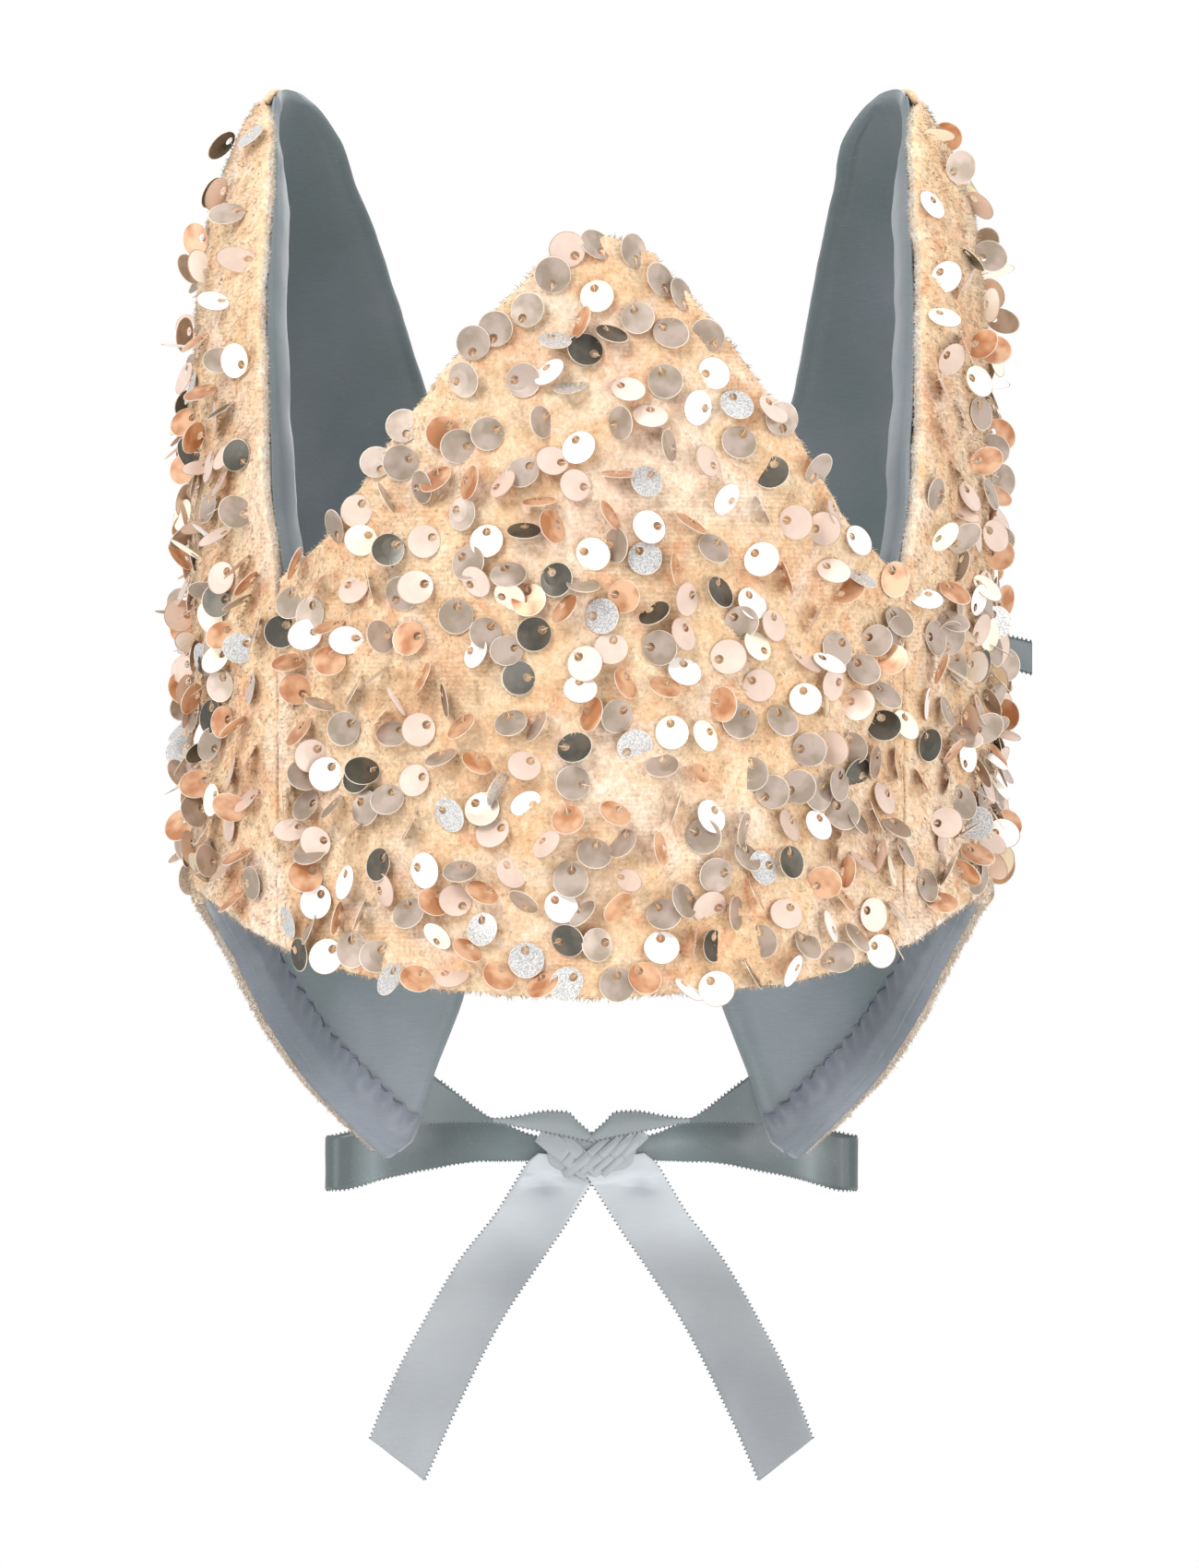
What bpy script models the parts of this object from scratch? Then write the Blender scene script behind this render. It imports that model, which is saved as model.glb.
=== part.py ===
"""Animal ears head wrap: a velvet crown band with a centre peak and two standing ears.

The band goes round the head, open at the top, and is tied at the nape with a satin ribbon bow.
Each side is one tall leaf, from the tip of its ear down to its point at the nape, and is stitched
to the front panel along an upright seam. The front faces -Y, +Z is up, and the origin is at the
middle of the head opening, level with the hem above the wearer's ears. Left and right are the
wearer's, so left is +X. Metres throughout; angles round the head are in degrees from the front.
"""
import math

import bmesh
import bpy
from mathutils import Matrix, Vector

MM = 0.001

# The head opening, measured on the outer face of the velvet.
HALF_WIDTH = 86 * MM
HALF_DEPTH = 98 * MM
NARROWS_FROM = 60 * MM  # above this height the ears lean in
NARROWS_OVER = 115 * MM
NARROWS_BY = 0.20
LEAF_CURLS_FROM = 68 * MM  # above this height each ear curls more tightly
LEAF_CURLS_OVER = 107 * MM
LEAF_CURLS_BY = 72 * MM
PEAK_LEANS_FROM = 68 * MM
PEAK_LEANS_OVER = 70 * MM
PEAK_LEANS_BY = 12 * MM

# The layers, as depths below the outer face.
VELVET = (0.0, 1.1 * MM)
INTERLINING = (1.55 * MM, 3.05 * MM)
LINING = (3.5 * MM, 4.1 * MM)
FACING = (4.8 * MM, 5.4 * MM)
CAVITY_MIDDLE = 2.3 * MM  # where the ear wires and the ribbon ends lie

SEAM_ANGLE = 50.0
SEAM_GAP = 0.3  # degrees between the front panel and a side, half of it each
BEND_HEIGHT = 96 * MM  # the line that an ear bends at
BEND_GAP = 0.6 * MM
WIRE_RADIUS = 0.7 * MM
WIRE_INSET = 2.6 * MM
INTERLINING_INSET = 5.2 * MM
FACING_WIDTH = 9 * MM

RIBBON_WIDTH = 15 * MM
RIBBON_THICKNESS = 0.5 * MM
KNOT_CENTRE = Vector((0.0, 100.0, -60.0)) * MM
KNOT_SIZE = Vector((22.0, 8.0, 9.5)) * MM

# Outlines: (angle, height) or (height, angle), with the heights in millimetres.
HEM = ((0, -21), (19, -19.7), (45, -13), (56, -8.2), (64.5, -4), (82, 0), (95, -3.5), (109, -13.5),
       (122, -30.8), (131, -43), (138, -51), (146, -60.5))
PEAK = ((0, 138), (4.5, 136.5), (11, 128.5), (14, 123.5), (21, 112), (24.5, 105.5), (29, 97),
        (35, 85), (41, 75), (50, 67))
FRONT_EDGE = ((-11, 50), (60, 50), (67, 50.2), (83, 53), (113, 54.7), (143, 57.3), (160, 62.5),
              (167, 69.5), (173, 79))
REAR_EDGE = ((-60.5, 148), (-58, 150.3), (-51, 152.4), (-43.6, 154.3), (-34, 157), (-23, 160),
             (0, 162), (50, 162), (96, 157.5), (111, 154), (129, 149.6), (148, 143), (156, 138.5),
             (165, 132.7), (170, 125.6), (173, 119), (174.5, 112.4))
TIP_RISE = 1.5 * MM
PEAK_OFFSET = 1.8  # degrees that the peak stands to the left of the middle
LEFT_EASE = 7.0  # degrees that the left ear's rear edge is cut further forward
LEFT_EASE_SPAN = (20, 170)  # the heights between which it is, in millimetres

COLUMNS = 14
SIDE_ROWS = 9
EAR_ROWS = 8
FRONT_COLUMNS = 16
FRONT_ROWS = 7

MATERIALS = {
    "velvet": ((0.83, 0.65, 0.46), 0.9, 0.0),
    "satin": ((0.17, 0.21, 0.24), 0.4, 0.0),
    "interlining": ((0.75, 0.75, 0.73), 0.95, 0.0),
    "ribbon": ((0.36, 0.42, 0.46), 0.35, 0.0),
    "wire": ((0.6, 0.6, 0.62), 0.3, 1.0),
}


def clear_scene():
    for obj in list(bpy.data.objects):
        bpy.data.objects.remove(obj, do_unlink=True)


def collection(name):
    found = bpy.data.collections.get(name) or bpy.data.collections.new(name)
    if found.name not in bpy.context.scene.collection.children:
        bpy.context.scene.collection.children.link(found)
    return found


def material(name):
    """The material of this name, made the first time it is asked for."""
    found = bpy.data.materials.get(name)
    if found is None:
        colour, roughness, metallic = MATERIALS[name]
        found = bpy.data.materials.new(name)
        found.use_nodes = True
        shader = found.node_tree.nodes["Principled BSDF"]
        shader.inputs["Base Color"].default_value = (*colour, 1)
        shader.inputs["Roughness"].default_value = roughness
        shader.inputs["Metallic"].default_value = metallic
    return found


def add(name, data, finish):
    obj = bpy.data.objects.new(name, data)
    data.materials.append(material(finish))
    collection("animal_ears_headband").objects.link(obj)
    return obj


def through(points, at):
    """A smooth curve through (x, y) points, read at x: a Hermite spline with limited slopes."""
    last = len(points) - 1
    slopes = [(points[i + 1][1] - points[i][1]) / (points[i + 1][0] - points[i][0])
              for i in range(last)]
    at = min(max(at, points[0][0]), points[-1][0])
    i = min(sum(at > p[0] for p in points[1:-1]), last - 1)

    def slope(k):
        if k in (0, last):
            return slopes[0 if k == 0 else -1]
        before, after = slopes[k - 1], slopes[k]
        return 0.0 if before * after <= 0 else 2 * before * after / (before + after)

    (x0, y0), (x1, y1) = points[i], points[i + 1]
    width = x1 - x0
    t = (at - x0) / width
    return ((1 + 2 * t) * (1 - t) ** 2 * y0 + t * (1 - t) ** 2 * width * slope(i)
            + t * t * (3 - 2 * t) * y1 + t * t * (t - 1) * width * slope(i + 1))


def grown(z, start, over, power):
    return (max(0.0, z - start) / over) ** power


def dome_point(angle, z, leaf):
    """A point on the outer face; leaf is True on a side leaf and False on the front panel."""
    half_width = HALF_WIDTH * (1 - NARROWS_BY * grown(z, NARROWS_FROM, NARROWS_OVER, 5))
    if leaf:
        half_depth = HALF_DEPTH - LEAF_CURLS_BY * grown(z, LEAF_CURLS_FROM, LEAF_CURLS_OVER, 1.5)
    else:
        half_depth = HALF_DEPTH - PEAK_LEANS_BY * grown(z, PEAK_LEANS_FROM, PEAK_LEANS_OVER, 1.5)
    turn = math.radians(angle)
    return Vector((half_width * math.sin(turn), -half_depth * math.cos(turn), z))


def dome_normal(angle, z, leaf):
    step_angle, step_z = 0.05, 0.02 * MM
    across = dome_point(angle + step_angle, z, leaf) - dome_point(angle - step_angle, z, leaf)
    up = dome_point(angle, z + step_z, leaf) - dome_point(angle, z - step_z, leaf)
    return across.cross(up).normalized()


def below(angle, z, depth, leaf):
    """The point at a depth under the outer face."""
    return dome_point(angle, z, leaf) - dome_normal(angle, z, leaf) * depth


def between(a, b, t):
    return a + (b - a) * t


def bottom_z(angle):
    return through(HEM, angle) * MM


def front_angle(z):
    return through(FRONT_EDGE, z / MM)


def rear_angle(z, side):
    """The leaf's rear edge, which is cut further forward on the left ear."""
    low, high = LEFT_EASE_SPAN
    share = (z / MM - low) / (high - low)
    eased = LEFT_EASE * math.sin(math.pi * share) if side > 0 and 0 < share < 1 else 0
    return through(REAR_EDGE, z / MM) - eased


def side_outline(u, v, side):
    """Where (u, v) is on a side, between its hem and the bend line, as (angle, height)."""
    nape_z, nape_angle = REAR_EDGE[0][0] * MM, REAR_EDGE[0][1]
    front, rear = front_angle(BEND_HEIGHT), rear_angle(BEND_HEIGHT, side)

    def bottom(t):
        angle = between(SEAM_ANGLE, nape_angle, t)
        return angle, bottom_z(angle)

    def left(t):
        z = between(bottom_z(SEAM_ANGLE), BEND_HEIGHT, t)
        return front_angle(z), z

    def right(t):
        z = between(nape_z, BEND_HEIGHT, t)
        return rear_angle(z, side), z

    return coons(bottom, lambda t: (between(front, rear, t), BEND_HEIGHT), left, right, u, v)


def ear_outline(u, v, side):
    """Where (u, v) is on an ear, between the bend line and its tip, as (angle, height)."""
    front, rear = front_angle(BEND_HEIGHT), rear_angle(BEND_HEIGHT, side)
    (front_z, front_top), (rear_z, rear_top) = FRONT_EDGE[-1], REAR_EDGE[-1]

    def top(t):
        rise = TIP_RISE * 4 * t * (1 - t)
        return between(front_top, rear_top, t), between(front_z, rear_z, t) * MM + rise

    def left(t):
        z = between(BEND_HEIGHT, front_z * MM, t)
        return front_angle(z), z

    def right(t):
        z = between(BEND_HEIGHT, rear_z * MM, t)
        return rear_angle(z, side), z

    return coons(lambda t: (between(front, rear, t), BEND_HEIGHT), top, left, right, u, v)


def coons(bottom, top, left, right, u, v):
    """The Coons patch between four edge curves that meet at their ends, read at (u, v)."""
    return tuple(
        between(bottom(u)[k], top(u)[k], v) + between(left(v)[k], right(v)[k], u)
        - between(between(bottom(0)[k], bottom(1)[k], u), between(top(0)[k], top(1)[k], u), v)
        for k in (0, 1))


def front_outline(u, v, side):
    """Where (u, v) is on the front panel, from one seam to the other, as (angle, height)."""
    angle = (SEAM_ANGLE - SEAM_GAP / 2) * (2 * u - 1)
    low = bottom_z(abs(angle))
    from_peak = abs(angle - PEAK_OFFSET * (1 - abs(angle) / SEAM_ANGLE))
    return angle, low + (through(PEAK, from_peak) * MM - low) * v


def sheet(name, columns, rows, place, thickness, finish):
    """A solid sheet: a grid laid by place(u, v), its faces pointing out, thickened inwards."""
    shape = bmesh.new()
    bmesh.ops.create_grid(shape, x_segments=columns, y_segments=rows, size=0.5)
    for vertex in shape.verts:
        vertex.co = place(vertex.co.x + 0.5, vertex.co.y + 0.5)
    data = bpy.data.meshes.new(name)
    shape.to_mesh(data)
    shape.free()
    obj = add(name, data, finish)
    solid = obj.modifiers.new("thickness", "SOLIDIFY")
    solid.thickness = thickness
    solid.offset = -1
    solid.use_even_offset = True
    for face in data.polygons:
        face.use_smooth = True
    return obj


def mirrored(obj, side):
    """Turns a piece made for the left into its right-hand twin when side is -1."""
    if side < 0:
        shape = bmesh.new()
        shape.from_mesh(obj.data)
        shape.transform(Matrix.Diagonal((-1, 1, 1, 1)))
        bmesh.ops.reverse_faces(shape, faces=shape.faces)
        shape.to_mesh(obj.data)
        shape.free()
    return obj


def layer(name, outline, span, depths, grid, leaf, finish, side=1):
    """One layer of a panel. span is the part of the outline that it covers: (u0, u1, v0, v1)."""
    u0, u1, v0, v1 = span

    def place(u, v):
        angle, z = outline(between(u0, u1, u), between(v0, v1, v), side)
        return below(angle, z, depths[0], leaf)

    return mirrored(sheet(name, *grid, place, depths[1] - depths[0], finish), side)


def front_panel():
    grid = (FRONT_COLUMNS, FRONT_ROWS)
    layer("front_velvet", front_outline, (0, 1, 0, 1), VELVET, grid, False, "velvet")
    layer("front_interlining", front_outline, (0.01, 0.99, 0.015, 0.985), INTERLINING, grid,
          False, "interlining")
    layer("front_lining", front_outline, (0, 1, 0.003, 0.997), LINING, grid, False, "satin")

    def facing(u, v):
        angle = (SEAM_ANGLE - SEAM_GAP) * (2 * u - 1)
        return below(angle, bottom_z(abs(angle)) + (0.05 + v) * FACING_WIDTH, FACING[0], False)

    sheet("front_hem_facing", FRONT_COLUMNS, 1, facing, FACING[1] - FACING[0], "satin")


def side_panel(name, side):
    """The lower part of a leaf: from the seam back to the nape, up to the bend line."""
    grid = (COLUMNS, SIDE_ROWS)
    seam = SEAM_GAP / 2 / (REAR_EDGE[0][1] - SEAM_ANGLE)
    top = 1 - BEND_GAP / 2 / (BEND_HEIGHT - bottom_z(SEAM_ANGLE))
    layer(f"{name}_side_velvet", side_outline, (seam, 1, 0, top), VELVET, grid, True, "velvet",
          side)
    layer(f"{name}_side_interlining", side_outline, (seam * 4, 0.925, 0.02, top), INTERLINING,
          grid, True, "interlining", side)
    layer(f"{name}_side_lining", side_outline, (seam, 0.998, 0.003, top), LINING, grid, True,
          "satin", side)

    def facing(u, v):
        start, end = SEAM_ANGLE + 2.2, 144.0
        angle = start + (end - start) * u
        slope = (bottom_z(angle + 1) - bottom_z(angle - 1)) / (
            dome_point(angle + 1, 0, True) - dome_point(angle - 1, 0, True)).length
        lean = math.atan(slope)
        inwards = (0.05 + v) * FACING_WIDTH
        degrees = math.degrees(inwards * math.sin(lean) / HALF_DEPTH)
        return below(angle - degrees, bottom_z(angle) + inwards * math.cos(lean), FACING[0], True)

    mirrored(sheet(f"{name}_hem_facing", COLUMNS, 1, facing, FACING[1] - FACING[0], "satin"),
             side)


def ear(name, side):
    """The upper part of a leaf: it stands on the bend line and follows its wire."""
    grid = (COLUMNS, EAR_ROWS)
    bottom = BEND_GAP / 2 / (FRONT_EDGE[-1][0] * MM - BEND_HEIGHT)
    layer(f"{name}_ear_velvet", ear_outline, (0, 1, bottom, 1), VELVET, grid, True, "velvet", side)
    layer(f"{name}_ear_interlining", inset_ear_outline, (0, 1, bottom, 0.9), INTERLINING, grid,
          True, "interlining", side)
    layer(f"{name}_ear_lining", ear_outline, (0.004, 0.996, bottom, 0.995), LINING, grid, True,
          "satin", side)
    tube(f"{name}_ear_wire", ear_wire_route(side), WIRE_RADIUS, side)


def ear_inset(v, inset, side):
    """An inset from an ear's edges, as a share of its width at this height."""
    front, rear = (dome_point(*ear_outline(u, v, side), True) for u in (0, 1))
    return min(inset / (front - rear).length, 0.3)


def inset_ear_outline(u, v, side):
    """The ear's outline drawn in from both edges, which leaves room for the wire."""
    inset = ear_inset(v, INTERLINING_INSET, side)
    return ear_outline(between(inset, 1 - inset, u), v, side)


def ear_wire_route(side):
    """Up the ear's front edge, round its tip and down its rear edge, inside the seam."""
    low, high, count, round_tip = 0.03, 0.955, 14, 5
    up = []
    down = []
    for i in range(count):
        v = low + (high - low) * i / (count - 1)
        inset = ear_inset(v, WIRE_INSET, side)
        up.append((inset, v))
        down.append((1 - inset, v))
    tip = [(between(inset, 1 - inset, (i + 1) / (round_tip + 1)), high) for i in range(round_tip)]
    return [below(*ear_outline(u, v, side), CAVITY_MIDDLE, True)
            for u, v in up + tip + down[::-1]]


def tube(name, points, radius, side):
    curve = bpy.data.curves.new(name, "CURVE")
    curve.dimensions = "3D"
    spline = curve.splines.new("POLY")
    spline.points.add(len(points) - 1)
    for target, point in zip(spline.points, points):
        target.co = (point.x * side, point.y, point.z, 1)
    curve.bevel_depth = radius
    curve.bevel_resolution = 2
    curve.use_fill_caps = True
    return add(name, curve, "wire")


def ribbon(name, columns, centre, half_width, side, rows=2):
    """A flat ribbon: centre(t) runs along it and half_width(t) is its half width, a vector."""
    def place(u, v):
        return centre(u) + half_width(u) * (2 * v - 1)

    return mirrored(sheet(name, columns, rows, place, RIBBON_THICKNESS, "ribbon"), side)


def strap(name, side):
    """The ribbon from the leaf's rear edge, where it is sewn in, to the knot."""
    start_angle, start_z, exit_angle = 151.5, -50 * MM, 154.5
    inside = below(start_angle, start_z, CAVITY_MIDDLE, True)
    leaving = below(exit_angle, start_z, CAVITY_MIDDLE, True)
    knot_side = KNOT_CENTRE + Vector((KNOT_SIZE.x / 2 + 0.5 * MM, -1.2 * MM, 1.0 * MM))
    share = 0.25

    def centre(t):
        if t < share:
            return between(inside, leaving, t / share)
        along = (t - share) / (1 - share)
        bow_out = Vector((0, 1.0, -1.0)) * MM * math.sin(math.pi * along)
        return between(leaving, knot_side, along) + bow_out

    def half_width(t):
        narrowed = 1 - 0.5 * max(0.0, (t - share) / (1 - share)) ** 2
        lean = 0.22 * min(1.0, t / share)
        return Vector((lean * 0.4, 0, 1)).normalized() * RIBBON_WIDTH / 2 * narrowed

    return ribbon(f"{name}_ribbon_strap", 12, centre, half_width, side)


def bow_loop(name, side):
    """A loop of the bow: out from the knot, round its end and back, swept away from the head."""
    reach, end_radius, knot_radius = 56 * MM, 4.0 * MM, 1.6 * MM
    start = KNOT_CENTRE + Vector((KNOT_SIZE.x / 2 + 0.5 * MM, 2.4 * MM, 0))
    sweep = 0.33  # how far back the loop goes for each metre out
    turn_at = reach - KNOT_SIZE.x / 2
    bend_share = 0.14

    def centre(t):
        if t < 0.5 - bend_share:
            along, layer_side = t / (0.5 - bend_share), -1
        elif t > 0.5 + bend_share:
            along, layer_side = (1 - t) / (0.5 - bend_share), 1
        else:
            bend = (t - 0.5) / bend_share * math.pi / 2
            out = turn_at + end_radius * math.cos(bend)
            return start + Vector((out, out * sweep + end_radius * math.sin(bend), -3.0 * MM))
        out = turn_at * along
        spread = between(knot_radius, end_radius, math.sin(along * math.pi / 2))
        return start + Vector((out, out * sweep + layer_side * spread, -3.0 * MM * along))

    def half_width(t):
        along = min(1.0, min(t, 1 - t) / (0.5 - bend_share))
        return Vector((0, 0, 1)) * RIBBON_WIDTH / 2 * (0.55 + 0.4 * math.sin(along * math.pi / 2))

    return ribbon(f"{name}_bow_loop", 26, centre, half_width, side)


def tail(name, side):
    """A ribbon end that hangs from the knot, spreads outwards and is cut on the slant."""
    outer = ((0, -15.5, -67.5), (0.16, -21.3, -73.5), (0.35, -29.8, -84.5), (0.55, -37.2, -97),
             (0.78, -44.5, -111), (1, -50.2, -125))
    inner = ((0, -0.8, -67.5), (0.16, -6.4, -77), (0.35, -13.2, -87), (0.55, -21, -99),
             (0.78, -30.2, -117), (1, -38, -134.5))

    def edge(points, t):
        return Vector((through([(p[0], p[1]) for p in points], t), 0,
                       through([(p[0], p[2]) for p in points], t))) * MM

    def place(u, v):
        across = edge(outer, u) * (1 - v) + edge(inner, u) * v
        ripple = 1.6 * MM * math.sin(2 * math.pi * u) * (1 - 0.3 * v)
        cup = 0.5 * MM * math.cos(math.pi * (v - 0.5))
        return across + Vector((0, KNOT_CENTRE.y + ripple + cup - 0.4 * MM, 0))

    obj = sheet(f"{name}_ribbon_tail", 16, 3, place, RIBBON_THICKNESS, "ribbon")
    return mirrored(obj, -side)


def knot():
    """The wrapped knot, a soft pillow wider than it is high."""
    data = bpy.data.meshes.new("ribbon_knot")
    shape = bmesh.new()
    bmesh.ops.create_uvsphere(shape, u_segments=16, v_segments=10, radius=1)
    for vertex in shape.verts:
        squared = Vector([math.copysign(abs(c) ** 0.7, c) for c in vertex.co])
        pinch = 1 - 0.18 * (1 - abs(squared.x)) ** 2
        scaled = Vector((squared.x, squared.y * pinch, squared.z * pinch))
        vertex.co = KNOT_CENTRE + Vector([c * s / 2 for c, s in zip(scaled, KNOT_SIZE)])
    shape.to_mesh(data)
    shape.free()
    for face in data.polygons:
        face.use_smooth = True
    return add("ribbon_knot", data, "ribbon")


def side_tab():
    """The small folded satin tab that stands out from the left side."""
    angle, low, high, reach = 97.0, 49 * MM, 56 * MM, 11 * MM
    root = dome_point(angle, (low + high) / 2, True)
    out = Vector((0.95, 0.31, 0)).normalized()

    def place(u, v):
        along = out * (0.5 * MM + reach * u)
        droop = Vector((0, 0, -1.6 * MM * u * u))
        return root + along + Vector((0, 0, (v - 0.5) * (high - low))) + droop

    return sheet("side_tab", 5, 2, place, 1.0 * MM, "ribbon")


def build():
    clear_scene()
    front_panel()
    for name, side in (("left", 1), ("right", -1)):
        side_panel(name, side)
        ear(name, side)
        strap(name, side)
        bow_loop(name, side)
        tail(name, side)
    knot()
    side_tab()


build()
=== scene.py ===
"""Looks of the animal ears head wrap: sequinned plush velvet outside, satin inside, a ribbon bow.

Every shape is laid on the same surface that the CAD solids use: an upright oval round the head,
whose front faces -Y. A place on it is an angle from the front, in degrees, and a height; a depth
is how far under the outer face of the velvet something lies. Metres throughout; MM is one
millimetre. The wearer's left is +X, and a side of -1 makes the mirror image.
"""

import math

import bmesh
import bpy
import numpy as np
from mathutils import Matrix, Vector, noise


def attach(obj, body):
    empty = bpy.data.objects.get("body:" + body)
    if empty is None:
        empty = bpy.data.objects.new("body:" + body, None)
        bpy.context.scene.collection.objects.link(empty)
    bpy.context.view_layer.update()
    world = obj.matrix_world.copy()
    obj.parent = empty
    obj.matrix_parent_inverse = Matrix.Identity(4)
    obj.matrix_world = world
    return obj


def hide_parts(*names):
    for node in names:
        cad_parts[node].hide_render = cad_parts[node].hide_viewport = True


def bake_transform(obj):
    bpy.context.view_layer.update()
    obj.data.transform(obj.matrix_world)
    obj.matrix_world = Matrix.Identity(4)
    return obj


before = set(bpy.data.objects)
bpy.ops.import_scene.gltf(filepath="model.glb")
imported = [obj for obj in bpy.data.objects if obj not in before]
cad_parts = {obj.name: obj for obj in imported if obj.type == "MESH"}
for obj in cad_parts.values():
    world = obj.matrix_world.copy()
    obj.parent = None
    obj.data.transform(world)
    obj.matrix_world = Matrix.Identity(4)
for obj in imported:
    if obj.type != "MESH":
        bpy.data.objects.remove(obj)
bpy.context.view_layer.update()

MM = 0.001

# The head opening and how it narrows with height, on the outer face of the velvet.
HALF_WIDTH = 86 * MM
HALF_DEPTH = 98 * MM
NARROWS = (60 * MM, 115 * MM, 0.20)
LEAF_CURLS = (68 * MM, 107 * MM, 72 * MM)
PEAK_LEANS = (68 * MM, 70 * MM, 12 * MM)
SEAM_ANGLE = 50.0
SEAM_GAP = 0.3
BEND_HEIGHT = 96 * MM
PEAK_OFFSET = 1.8
LEFT_EASE = 7.0
LEFT_EASE_SPAN = (20, 170)
TIP_RISE = 1.5 * MM

# Outlines: (angle, height) or (height, angle), with the heights in millimetres.
HEM = ((0, -21), (19, -19.7), (45, -13), (56, -8.2), (64.5, -4), (82, 0), (95, -3.5), (109, -13.5),
       (122, -30.8), (131, -43), (138, -51), (146, -60.5))
PEAK = ((0, 138), (4.5, 136.5), (11, 128.5), (14, 123.5), (21, 112), (24.5, 105.5), (29, 97),
        (35, 85), (41, 75), (50, 67))
FRONT_EDGE = ((-11, 50), (60, 50), (67, 50.2), (83, 53), (113, 54.7), (143, 57.3), (160, 62.5),
              (167, 69.5), (173, 79))
REAR_EDGE = ((-60.5, 148), (-58, 150.3), (-51, 152.4), (-43.6, 154.3), (-34, 157), (-23, 160),
             (0, 162), (50, 162), (96, 157.5), (111, 154), (129, 149.6), (148, 143), (156, 138.5),
             (165, 132.7), (170, 125.6), (173, 119), (174.5, 112.4))

# Depths under the outer face.
VELVET_THICKNESS = 0.5 * MM
ROLL = 1.6 * MM  # the velvet turns in round its free edges on this radius
SEAM_ROLL = 0.8 * MM
REAR_ROLL = 0.8 * MM
LINING_FACE = 4.1 * MM
LINING_THICKNESS = 0.5 * MM
FACING_FACE = 5.3 * MM
FACING_WIDTH = 10.5 * MM
FACING_THICKNESS = 0.4 * MM

SEQUIN_RADIUS = 3.9 * MM
SEQUIN_SIDES = 24
SEQUIN_THICKNESS = 0.12 * MM
HOLE_RADIUS = 1.0 * MM
HOLE_OFFSET = 2.15 * MM  # from the hole to the middle of the sequin
SEQUIN_TRIES = 9000
EDGE_SPACING = 4.5 * MM
LIES_LOW = 0.055  # a sequin whose share is this near a side turns inwards and lies lower
NO_SEQUIN = 0.02  # the share of the width, at each side, that stays free of sequins

# The rows and columns of the panels' meshes.
LEAF_GRID = (118, 96)
FRONT_GRID = (78, 100)
EASE_COLUMNS = 20
EASE_ROWS = 4
ROLL_STEPS = 6
SHOWN_STEPS = 4  # how far round the rolled edge the pile goes

RIBBON_THICKNESS = 0.35 * MM
PICOT_PITCH = 1.05 * MM
KNOT = np.array([0.0, 100.0, -60.0]) * MM
SIDES = (("left", 1), ("right", -1))


# ------------------------------------------------------------------ the surface of the head wrap

def through(points, at):
    """A smooth curve through (x, y) points, read at x: a Hermite spline with limited slopes."""
    xs, ys = np.array(points, float).T
    slopes = np.diff(ys) / np.diff(xs)
    before, after = slopes[:-1], slopes[1:]
    agree = before * after > 0
    inner = np.where(agree, 2 * before * after / np.where(agree, before + after, 1), 0)
    ends = np.concatenate((slopes[:1], inner, slopes[-1:]))
    at = np.clip(at, xs[0], xs[-1])
    i = np.clip(np.searchsorted(xs, at) - 1, 0, len(slopes) - 1)
    width = xs[i + 1] - xs[i]
    t = (at - xs[i]) / width
    return ((1 + 2 * t) * (1 - t) ** 2 * ys[i] + t * (1 - t) ** 2 * width * ends[i]
            + t * t * (3 - 2 * t) * ys[i + 1] + t * t * (t - 1) * width * ends[i + 1])


def unit(vectors):
    return vectors / np.maximum(np.linalg.norm(vectors, axis=-1, keepdims=True), 1e-12)


def between(a, b, t):
    return a + (b - a) * t


def smooth(t):
    t = np.clip(t, 0, 1)
    return t * t * (3 - 2 * t)


def bell(x, centre, width):
    return np.exp(-((x - centre) / width) ** 2)


def grown(z, start, over, power):
    return (np.maximum(0.0, z - start) / over) ** power


def dome(angle, z, leaf):
    """Points on the outer face; leaf is True on a side leaf and False on the front panel."""
    start, over, share = NARROWS
    half_width = HALF_WIDTH * (1 - share * grown(z, start, over, 5))
    start, over, by = LEAF_CURLS if leaf else PEAK_LEANS
    half_depth = HALF_DEPTH - by * grown(z, start, over, 1.5)
    turn = np.radians(angle)
    return np.stack([half_width * np.sin(turn), -half_depth * np.cos(turn), z + 0 * turn], -1)


def dome_normal(angle, z, leaf):
    step = 0.05
    across = dome(angle + step, z, leaf) - dome(angle - step, z, leaf)
    up = dome(angle, z + step * MM, leaf) - dome(angle, z - step * MM, leaf)
    return unit(np.cross(across, up))


def below(angle, z, depth, leaf):
    depth = np.broadcast_to(depth, np.shape(angle))[..., None]
    return dome(angle, z, leaf) - dome_normal(angle, z, leaf) * depth


def front_angle(z):
    return through(FRONT_EDGE, z / MM)


def rear_angle(z, side):
    low, high = LEFT_EASE_SPAN
    share = np.clip((z / MM - low) / (high - low), 0, 1)
    return through(REAR_EDGE, z / MM) - (LEFT_EASE * np.sin(np.pi * share) if side > 0 else 0)


def coons(bottom, top, left, right, u, v):
    """The Coons patch between four edge curves that meet at their ends, read at (u, v)."""
    zero, one = np.zeros(1), np.ones(1)
    return [between(bottom(u)[k], top(u)[k], v) + between(left(v)[k], right(v)[k], u)
            - between(between(bottom(zero)[k], bottom(one)[k], u),
                      between(top(zero)[k], top(one)[k], u), v) for k in (0, 1)]


def bend_line(side):
    """The line across a leaf where its ear bends."""
    bend = np.full(1, BEND_HEIGHT)
    front, rear = front_angle(bend), rear_angle(bend, side)
    return lambda t: (between(front, rear, t), BEND_HEIGHT + 0 * t)


def upright(angle_at, start, end):
    """A leaf's front or rear edge between two heights."""
    def edge(t):
        z = between(start, end, t)
        return angle_at(z), z

    return edge


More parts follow.
